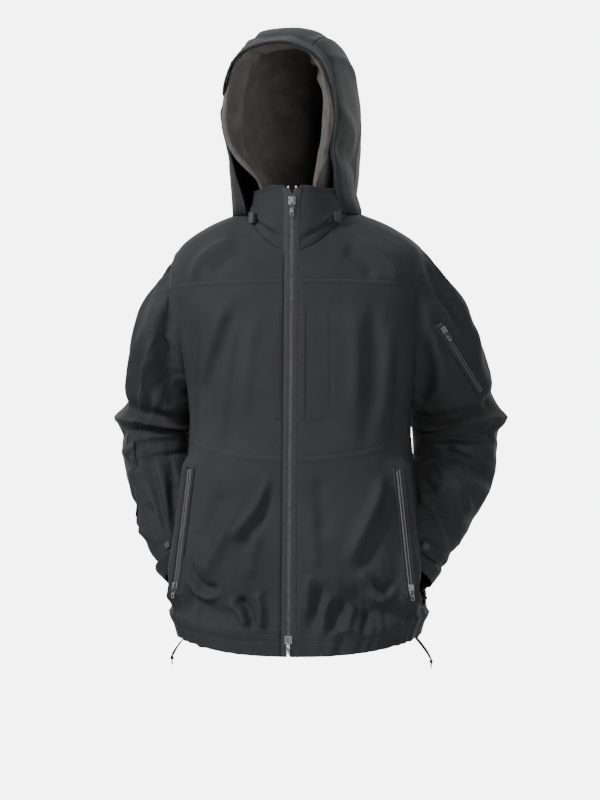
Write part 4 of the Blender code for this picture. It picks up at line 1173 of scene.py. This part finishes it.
def tooth_template():
    """One moulded zip tooth pointing along +x: a foot, a neck and a rounded head."""
    bm = bmesh.new()
    outline = [(0.0000, -0.00105), (0.0016, -0.00105), (0.0021, -0.0006), (0.0028, -0.0009),
               (0.0035, -0.0007), (0.0037, 0.0), (0.0035, 0.0007), (0.0028, 0.0009), (0.0021, 0.0006),
               (0.0016, 0.00105), (0.0000, 0.00105)]
    face = bm.faces.new([bm.verts.new((x, 0, z)) for x, z in outline])
    top = bmesh.ops.extrude_face_region(bm, geom=[face])
    raised = [v for v in top["geom"] if isinstance(v, bmesh.types.BMVert)]
    bmesh.ops.translate(bm, vec=(0, -TOOTH_HIGH, 0), verts=raised)
    rims = [e for e in bm.edges if abs(e.verts[0].co.y - e.verts[1].co.y) < 1e-6]
    bmesh.ops.bevel(bm, geom=rims, offset=0.00035, segments=1, affect='EDGES')
    bmesh.ops.recalc_face_normals(bm, faces=bm.faces)
    points = np.array([v.co[:] for v in bm.verts])
    faces = [[v.index for v in f.verts] for f in bm.faces]
    bm.free()
    return points, faces


def repeated(name, matrix, template, spots, material, turn_over=False):
    """Many copies of a small shape in one mesh, at (x, y, z) spots of a zip's frame."""
    points, faces = template
    if turn_over:
        points = points * np.array((-1, 1, 1))
        faces = [ring[::-1] for ring in faces]
    everywhere = (np.asarray(spots)[:, None, :] + points[None]).reshape(-1, 3)
    world = placed(matrix, everywhere)
    rings = [[i + k * len(points) for i in ring] for k in range(len(spots)) for ring in faces]
    piece = plain_object(name, world, rings)
    piece.data.materials.append(material)
    return piece


ZIP_LOW, ZIP_HIGH, ZIP_TOP_SLIDER = -0.6735, 0.0300, 0.0100
SPLIT = 0.0034


def split_at(z):
    """How far each half of the chain stands apart above the top slider."""
    return SPLIT * smooth(ZIP_TOP_SLIDER + 0.004, ZIP_HIGH, z)


# Cross-sections, x from the middle of the zip and y into the cloth.
TAPE_PROFILE = ((0.0022, 0.0001), (0.0026, -0.0007), (0.0036, -0.0010), (0.0052, -0.0009),
                (0.0080, -0.0005), (0.0104, 0.0001), (0.0122, 0.0009), (0.0136, 0.0020))
LIP_PROFILE = ((0.00025, 0.0004), (0.0007, -0.0007), (0.0018, -0.0010), (0.0034, -0.0008), (0.0052, 0.0002))
WELT_PROFILE = ((0.0046, 0.0012), (0.0047, -0.0008), (0.0054, -0.0017), (0.0070, -0.0017),
                (0.0086, -0.0006), (0.0098, 0.0014))
STOP_SIZE, STOP_EDGE = (0.0028, 0.0032, 0.0034), 0.0007


def stop_template():
    """Moulded end stop: a small block with rounded edges."""
    bm = bmesh.new()
    bmesh.ops.create_cube(bm, size=1)
    bmesh.ops.scale(bm, vec=STOP_SIZE, verts=bm.verts)
    bmesh.ops.bevel(bm, geom=bm.edges[:], offset=STOP_EDGE, segments=2, affect='EDGES')
    points = np.array([v.co[:] for v in bm.verts])
    faces = [[v.index for v in f.verts] for f in bm.faces]
    bm.free()
    return points, faces


def show_main_zip():
    """Tape, teeth and end stop of each half of the main zip."""
    places = np.linspace(ZIP_LOW, ZIP_HIGH, 230)
    for side, name in SIDES:
        outline = [(x * side, y) for x, y in TAPE_PROFILE]
        tape = strip(f"{name}_zip_tape", MAIN_ZIP, outline, places, MATT_TAPE,
                     lambda z: side * split_at(z) * 0.9)
        offset = TOOTH_PITCH / 2 if side < 0 else 0.0
        rows = np.arange(ZIP_LOW + 0.004 + offset, ZIP_HIGH - 0.001, TOOTH_PITCH)
        spots = [(side * (0.0029 + split_at(z)), 0.0014, z) for z in rows]
        teeth = repeated(f"{name}_zip_teeth", MAIN_ZIP, tooth_template(), spots, TEETH, turn_over=side > 0)
        end = repeated(f"{name}_zip_stop", MAIN_ZIP, stop_template(),
                       [(side * (0.0026 + SPLIT), -0.0002, ZIP_HIGH + 0.0008)], PALE_STOP)
        attach(tape, "torso", f"{name}_zip_half")
        attach(teeth, "torso")
        attach(end, "torso")


def pocket_zip(name, matrix, length, body, node):
    """Reverse zip of a pocket: two satin tape lips over a chain, framed by folded welts."""
    half = length / 2
    places, welt_places = np.linspace(-half, half, 60), np.linspace(-half - 0.003, half + 0.003, 62)
    made = []
    for side, word in ((1, "outer"), (-1, "inner")):
        lip, welt = ([(side * x, y) for x, y in profile] for profile in (LIP_PROFILE, WELT_PROFILE))
        made.append(strip(f"{name}_{word}_tape", matrix, lip, places, TAPE))
        made.append(strip(f"{name}_{word}_welt", matrix, welt, welt_places, SHELL))
    coil = tooth_template()
    coil = (coil[0] * np.array((0.35, 0.35, 0.5)), coil[1])
    spots = [(-0.0006, 0.0011, z) for z in np.arange(-half + 0.003, half - 0.002, COIL_PITCH)]
    made.append(repeated(f"{name}_chain", matrix, coil, spots, TEETH))
    for piece in made:
        attach(piece, body)
    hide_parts(node)


def on_front(x, z):
    """Point and outward normal of the front at a given x and height."""
    hit, normal, _, _ = torso_surface.tree.ray_cast(Vector((x, -0.6, z)), Vector((0, 1, 0)))
    return np.array(hit), np.array(-normal if normal.y > 0 else normal)


CHEST_EDGE, CHEST_Z = 0.0218, (-0.141, -0.319)
CHEST_LIFT = {1: 0.0010, -1: 0.0022}


def show_chest_welts():
    """Folded lips beside the main zip that cover the two upright chest pocket openings."""
    for side, name in SIDES:
        lift = CHEST_LIFT[side]
        profile = ((0.0124, -0.0004), (0.0138, 0.25 * lift), (0.0165, 0.6 * lift), (0.0192, 0.85 * lift),
                   (0.0212, lift), (CHEST_EDGE, 0.8 * lift), (CHEST_EDGE, -0.0006))
        rows = []
        for z in np.linspace(*CHEST_Z, 90):
            gape = smooth(0, 0.03, min(CHEST_Z[0] - z, z - CHEST_Z[1]))
            row = []
            for aside, rise in profile:
                place, out = on_front(side * aside, z)
                row.append(place + out * rise * (0.35 + 0.65 * gape))
            rows.append(row)
        piece = cloth_piece(f"{name}_chest_welt_cloth", np.array(rows), SHELL, wall=0.0008, flip=side > 0)
        attach(piece, "torso", f"{name}_chest_welt")


show_main_zip()
for side, name in SIDES:
    pocket_zip(f"{name}_hand_pocket", *HAND_ZIPS[side], "torso", f"{name}_hand_pocket_zip")
pocket_zip("sleeve_pocket", *SLEEVE_ZIP, "left_sleeve", "sleeve_pocket_zip")
show_chest_welts()


# ---- hem cords --------------------------------------------------------------------------------
CORD_WIDE = 0.0025
CORD_ROUTE = np.array((
    (0.1720, -0.0040, -0.6408), (0.1722, -0.0040, -0.6460), (0.1800, -0.0045, -0.6580),
    (0.1900, -0.0060, -0.6700), (0.1985, -0.0060, -0.6820), (0.2020, -0.0030, -0.6885),
    (0.2025, 0.0010, -0.6895), (0.2010, 0.0050, -0.6870), (0.1950, 0.0065, -0.6760),
    (0.1860, 0.0050, -0.6640), (0.1780, 0.0040, -0.6540), (0.1722, 0.0040, -0.6460),
    (0.1720, 0.0040, -0.6408)))
KNOT_PLACE = (0.2024, 0.0010, -0.6930)


def cord_curve(name, points, wide, material):
    """Round cord along points."""
    data = bpy.data.curves.new(name, 'CURVE')
    data.dimensions = '3D'
    data.bevel_depth = wide / 2
    data.bevel_resolution = 4
    data.use_fill_caps = True
    spline = data.splines.new('POLY')
    spline.points.add(len(points) - 1)
    for point, place in zip(spline.points, points):
        point.co = (*place, 1)
    spline.use_smooth = True
    data.materials.append(material)
    piece = bpy.data.objects.new(name, data)
    bpy.context.collection.objects.link(piece)
    return piece


def knot_points(centre, side):
    """Two close turns of cord pulled tight, then a short tail."""
    turn = np.linspace(0, 2 * math.pi * 2.2, 46)
    wound = np.stack((0.0017 * np.cos(turn) * side, 0.0017 * np.sin(turn), 0.0018 - 0.0038 * turn / turn[-1]),
                     axis=-1)
    tail = np.linspace(0, 1, 12)[1:, None] * np.array((-0.0008 * side, -0.0017, -0.0085)) + wound[-1]
    return np.concatenate([wound, tail]) + np.array(centre)


def show_cords():
    """Looped drawcords with their knots, hanging from the hem."""
    for side, name in SIDES:
        mirror = np.array((side, 1, 1))
        keys = np.linspace(0, 1, len(CORD_ROUTE))
        route = curve_through(keys, CORD_ROUTE, np.linspace(0, 1, 97)) * mirror
        loop = cord_curve(f"{name}_hem_cord_loop", route, CORD_WIDE, BRAID)
        knot = cord_curve(f"{name}_hem_cord_knot", knot_points(np.array(KNOT_PLACE) * mirror, side),
                          0.0024, BRAID)
        attach(loop, "torso", f"{name}_hem_cord")
        attach(knot, "torso", f"{name}_cord_knot")


show_cords()


# ---- stitching --------------------------------------------------------------------------------
STITCH_LONG, STITCH_PITCH, STITCH_WIDE = 0.0026, 0.0036, 0.00055
# A stitch is a small block whose top is drawn in: its corners along, across and up, and its six faces.
STITCH_CORNERS = ((1, 1, 0), (1, -1, 0), (-1, -1, 0), (-1, 1, 0),
                  (0.8, 0.7, 1), (0.8, -0.7, 1), (-0.8, -0.7, 1), (-0.8, 0.7, 1))
STITCH_FACES = ((4, 7, 6, 5), (0, 4, 5, 1), (1, 5, 6, 2), (2, 6, 7, 3), (3, 7, 4, 0), (0, 1, 2, 3))


def read_at(places, arc, table):
    """Rows of a table at places along an arc."""
    return np.stack([np.interp(places, arc, table[:, i]) for i in range(3)], axis=-1)


def stitches(name, lines):
    """Rows of short raised threads laid along lines of (points, normals)."""
    vertices, faces = [], []
    for points, normals in lines:
        arc = np.concatenate([[0], np.cumsum(np.linalg.norm(np.diff(points, axis=0), axis=-1))])
        middle = np.arange(0.003, arc[-1] - 0.003, STITCH_PITCH)
        if not len(middle):
            continue
        centre, out = read_at(middle, arc, points), read_at(middle, arc, normals)
        along = read_at(middle + 0.001, arc, points) - read_at(middle - 0.001, arc, points)
        along /= np.linalg.norm(along, axis=-1, keepdims=True)
        aside = np.cross(along, out)
        first = len(vertices)
        corners = [centre + along * (a * STITCH_LONG / 2) + aside * (b * STITCH_WIDE / 2)
                   + out * (c * 0.0005 - 0.0001) for a, b, c in STITCH_CORNERS]
        for k in range(len(middle)):
            vertices += [tuple(corner[k]) for corner in corners]
            base = first + len(STITCH_CORNERS) * k
            faces += [[base + i for i in face] for face in STITCH_FACES]
    piece = plain_object(name, vertices, faces)
    piece.data.materials.append(THREAD)
    return piece


def runs(points, normals, keep):
    """Split a line into the stretches that show."""
    edges = np.flatnonzero(np.diff(np.concatenate([[False], keep, [False]]).astype(int)))
    return [(points[a:b], normals[a:b]) for a, b in zip(edges[::2], edges[1::2]) if b - a > 4]


def body_stitches():
    """Rows of stitches beside the seams of the body."""
    normals = -grid_normals(torso)
    shows = sleeve_gap(torso) > 0.004
    hem, middle, back_yoke, yoke = LEVEL_ROW[1:5]
    rows = [(hem - 2, slice(None)), (hem - 7, slice(None)), (back_yoke + 2, BACK_PART)]
    rows += [(row, part) for part in (LEFT_PART, RIGHT_PART) for row in (middle + 2, yoke + 2, yoke + 4)]
    lines = []
    for row, part in rows:
        lines += runs(torso[row, part], normals[row, part], shows[row, part])
    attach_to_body(stitches("body_stitches", lines), "torso")


def sleeve_stitches():
    """Rows of stitches round the elbow seam, the cuff seam and the cuff's edge."""
    for side, name in SIDES:
        grid = sleeve_grids[side]
        normals = grid_normals(grid, wrap=True) * -side
        lines = []
        for t in (ELBOW_T + 0.008, CUFF_T + 0.008, 0.985):
            row = int(round(t * (SLEEVE_ROWS - 1)))
            loop = np.append(np.arange(SLEEVE_COLUMNS), 0)
            lines.append((grid[row, loop], normals[row, loop]))
        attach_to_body(stitches(f"{name}_sleeve_stitches", lines), f"{name}_sleeve")


def pocket_stitches():
    """Two rows of stitches along each pocket zip."""
    for name, (matrix, length), body in (("left_hand_pocket", HAND_ZIPS[1], "torso"),
                                         ("right_hand_pocket", HAND_ZIPS[-1], "torso"),
                                         ("sleeve_pocket", SLEEVE_ZIP, "left_sleeve")):
        half = length / 2 + 0.002
        lines = []
        for x in (-0.0079, 0.0079):
            local = np.stack((np.full(50, x), np.full(50, -0.0013), np.linspace(-half, half, 50)), axis=-1)
            lines.append((placed(matrix, local), np.broadcast_to(-np.array(matrix)[:3, 1], local.shape)))
        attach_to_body(stitches(f"{name}_stitches", lines), body)


def hood_stitches():
    """Stitches beside the hood's seams and round its face opening."""
    grid = hood_grid()
    normals = facing_from(grid_normals(grid), grid, HOOD_MIDDLE)
    gusset = int(round(GUSSET_S * (HOOD_S_ROWS - 1)))
    lines = [(grid[gusset - 2], normals[gusset - 2])]
    for line in CROWN_T:
        column = int(round(line * (HOOD_T_COLUMNS - 1))) + (2 if line > 0.5 else -2)
        lines.append((grid[3:gusset, column], normals[3:gusset, column]))
    lines.append((grid[7], normals[7]))
    piece = stitches("hood_stitches", lines)
    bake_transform(piece)


body_stitches()
sleeve_stitches()
pocket_stitches()
hood_stitches()


# ---- cuff tabs, flap behind the zip, hanger loop and pocket bags --------------------------------
BAG_MARGIN, BAG_BEHIND = 0.006, 0.0065
ROOT_REACH, ROOT_DEEP = 0.0035, 0.0110
tab_frames = {}


def node_places(node):
    return np.array([v.co[:] for v in frame["nodes"][node].data.vertices])


def node_frame(node, outward):
    """Centre, three directions (long, across, out) and full sizes of a flat CAD node."""
    places = node_places(node)
    centred = places - places.mean(axis=0)
    directions = np.linalg.svd(centred, full_matrices=False)[2]
    local = centred @ directions.T
    middle = (local.min(axis=0) + local.max(axis=0)) / 2
    centre = places.mean(axis=0) + middle @ directions
    out = directions[2] * np.sign(directions[2] @ np.array(outward))
    across = np.cross(out, directions[0])
    return centre, directions[0], across, out, np.ptp(local, axis=0)


def rounded_patch(long, wide, rows=20, columns=30):
    """Grid of (x, y) over a rectangle with rounded corners."""
    x = np.linspace(-1, 1, columns)[None, :]
    y = np.linspace(-1, 1, rows)[:, None]
    corner = 0.30 * wide
    x, y = np.broadcast_arrays(x * long / 2, y * wide / 2)
    over = np.maximum(np.abs(x) - (long / 2 - corner), 0)
    limit = wide / 2 - corner + np.sqrt(np.maximum(corner ** 2 - over ** 2, 0))
    return x, y * limit / (wide / 2)


def show_cuff_tabs():
    """Stitched tabs that tighten the cuffs."""
    for side, name in SIDES:
        node = f"{name}_cuff_tab"
        cuff = sleeve_frame(np.array(0.925), side)[0]
        outward = node_places(node).mean(axis=0) - cuff
        tab_frames[name] = centre, long, across, out, size = node_frame(node, outward)
        x, y = rounded_patch(size[0], size[1])
        edge = np.minimum(size[0] / 2 - np.abs(x), size[1] / 2 - np.abs(y))
        lift = size[2] / 2 - 0.0007 * np.exp(-((edge - 0.0024) / 0.0006) ** 2) + 0.0002 * np.sin(x * 300)
        grid = (centre + x[..., None] * long + y[..., None] * across + lift[..., None] * out)
        flip = np.dot(np.cross(long, across), out) < 0
        piece = cloth_piece(f"{name}_cuff_tab_cloth", grid, SHELL, wall=THIN_CLOTH, flip=bool(flip))
        attach(piece, node, node)


def show_tab_roots():
    """Short fold of cloth that joins each tab's hinge edge to the cuff."""
    for name, (centre, long, across, out, size) in tab_frames.items():
        cap_low, cap_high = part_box(f"{name}_snap_cap")
        away = long * -np.sign((np.array(cap_low + cap_high) / 2 - centre) @ long)
        r, q = np.meshgrid(np.linspace(0, 1, 12), np.linspace(-1, 1, 14), indexing="ij")
        ahead = size[0] / 2 - 0.0012 + ROOT_REACH * np.sin(r * math.pi / 2)
        sink = size[2] / 2 - 0.0006 - ROOT_DEEP * r ** 1.5
        wide = q * (size[1] / 2 - 0.0012)
        grid = centre + ahead[..., None] * away + sink[..., None] * out + wide[..., None] * across
        piece = cloth_piece(f"{name}_cuff_tab_root", grid, SHELL, wall=0.0010)
        attach(piece, f"{name}_sleeve")


def show_storm_flap():
    """Strip of shell cloth behind the main zip."""
    x = np.linspace(-0.018, 0.012, 12)[None, :]
    z = np.linspace(-0.655, -0.090, 120)[:, None]
    x, z = np.broadcast_arrays(x, z)
    sag = 0.0050 + 0.0003 * np.sin(z * 70) * np.sin(x * 90)
    local = np.stack((x, sag, z), axis=-1)
    piece = cloth_piece("storm_flap_cloth", placed(MAIN_ZIP, local), SHELL, wall=0.0008)
    attach(piece, "torso", "storm_flap")


def show_hanger():
    """Woven loop at the back of the neck, bowed forwards between its two ends."""
    centre, long, across, out, size = node_frame("hanger_loop", (0, -1, 0))
    x, y = rounded_patch(size[0], size[1] * 0.9, 8, 40)
    bow = 0.0008 * np.cos(x / size[0] * math.pi) ** 2 - 0.0002
    grid = centre + x[..., None] * long + y[..., None] * across + bow[..., None] * out
    flip = np.dot(np.cross(long, across), out) < 0
    piece = cloth_piece("hanger_loop_webbing", grid, BRAID, wall=0.0010, flip=bool(flip))
    attach(piece, "torso", "hanger_loop")


def show_pocket_bags():
    """Fleece bags hanging inside the front behind the two hand pockets."""
    for _, name in SIDES:
        node = f"{name}_hand_pocket_bag"
        low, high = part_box(node)
        across = np.linspace(low.x + BAG_MARGIN, high.x - BAG_MARGIN, 30)
        grid = np.array([[on_front(x, z)[0] + (0, BAG_BEHIND, 0) for x in across]
                         for z in np.linspace(low.z + BAG_MARGIN, high.z - BAG_MARGIN, 44)])
        piece = cloth_piece(f"{name}_pocket_bag_fleece", grid, FLEECE, wall=0.0012, flip=True)
        attach(piece, "torso", node)


show_cuff_tabs()
show_tab_roots()
show_storm_flap()
show_hanger()
show_pocket_bags()


# ---- frame nodes that stay ----------------------------------------------------------------------
FINISHES = (
    (METAL, ("_slider", "_pull")),
    (PLASTIC, ("snap_cap", "cord_lock", "lock_button", "hood_adjuster")))


def dress_frame():
    """Give the frame's own nodes their materials."""
    for node in list(bpy.data.objects):
        if node.type != 'MESH' or node.name not in frame["nodes"]:
            continue
        finish = SHELL
        for material, endings in FINISHES:
            if node.name.endswith(endings):
                finish = material
        node.data.materials.clear()
        node.data.materials.append(finish)


dress_frame()


# ---- floor, lights, camera --------------------------------------------------------------------
FLOOR_DROP, WALL_AWAY, STAGE_WIDE = 2.5, 8.5, 26
PAPER_GLOW = 5.7


def plain_stage():
    """Pale floor and an evenly lit white wall, far enough away to walk round the jacket."""
    low = CAD_BOX[0][2] - FLOOR_DROP
    for name, place, tilt, glow in (("floor", (0, 0, low), 0, 0.0),
                                    ("backdrop", (0, WALL_AWAY, 0), math.pi / 2, PAPER_GLOW)):
        bpy.ops.mesh.primitive_plane_add(size=STAGE_WIDE, location=place, rotation=(tilt, 0, 0))
        plane = bpy.context.object
        plane.name = name
        paper = Nodes(f"{name}_paper", (0.6, 0.6, 0.6), 0.9)
        tone = paper.tint(paper.noise(1.2, 2.0).outputs["Fac"], (0.595, 0.595, 0.595), (0.605, 0.605, 0.605))
        paper.shader.inputs["Emission Color"].default_value = (1, 1, 1, 1)
        paper.shader.inputs["Emission Strength"].default_value = glow
        plane.data.materials.append(paper.finish(tone))


def soft_light(name, place, aim, size, power):
    """Rectangular lamp aimed at a point."""
    light = bpy.data.lights.new(name, 'AREA')
    light.shape = 'RECTANGLE'
    light.size, light.size_y = size
    light.energy = power
    lamp = bpy.data.objects.new(name, light)
    bpy.context.collection.objects.link(lamp)
    lamp.location = place
    lamp.rotation_euler = (Vector(aim) - Vector(place)).to_track_quat('-Z', 'Y').to_euler()


def studio():
    """Dim surroundings and five soft lamps."""
    world = bpy.data.worlds.new("studio")
    bpy.context.scene.world = world
    world.use_nodes = True
    world.node_tree.nodes["Background"].inputs["Color"].default_value = (0.92, 0.95, 1.0, 1)
    world.node_tree.nodes["Background"].inputs["Strength"].default_value = 0.20
    chest = (0, -0.1, -0.25)
    soft_light("key", (-2.2, -1.9, 1.5), chest, (0.9, 0.9), 234)
    soft_light("fill", (1.1, -3.0, -0.1), chest, (1.2, 1.6), 94)
    soft_light("top", (0.1, -0.3, 2.3), chest, (1.8, 1.2), 40)
    soft_light("rim_left", (1.9, 1.6, 0.6), chest, (0.8, 2.0), 5)
    soft_light("rim_right", (-1.9, 1.6, 0.6), chest, (0.8, 2.0), 5)


CAMERA_TURN = math.radians(7)
CAMERA_AWAY, CAMERA_LENS, SENSOR_WIDE, FARTHEST_SEEN = 3.5, 101.5, 36, 40
CAMERA_AIM = (-0.001, 0.0, -0.290)


def photo_camera():
    """Long lens at chest height, slightly from the wearer's left."""
    data = bpy.data.cameras.new("camera")
    camera = bpy.data.objects.new("camera", data)
    bpy.context.collection.objects.link(camera)
    camera.location = (CAMERA_AIM[0] + CAMERA_AWAY * math.sin(CAMERA_TURN),
                       CAMERA_AIM[1] - CAMERA_AWAY * math.cos(CAMERA_TURN), CAMERA_AIM[2])
    camera.rotation_euler = (math.pi / 2, 0, CAMERA_TURN)
    data.lens = CAMERA_LENS
    data.sensor_width = SENSOR_WIDE
    data.clip_end = FARTHEST_SEEN
    bpy.context.scene.camera = camera


plain_stage()
studio()
photo_camera()
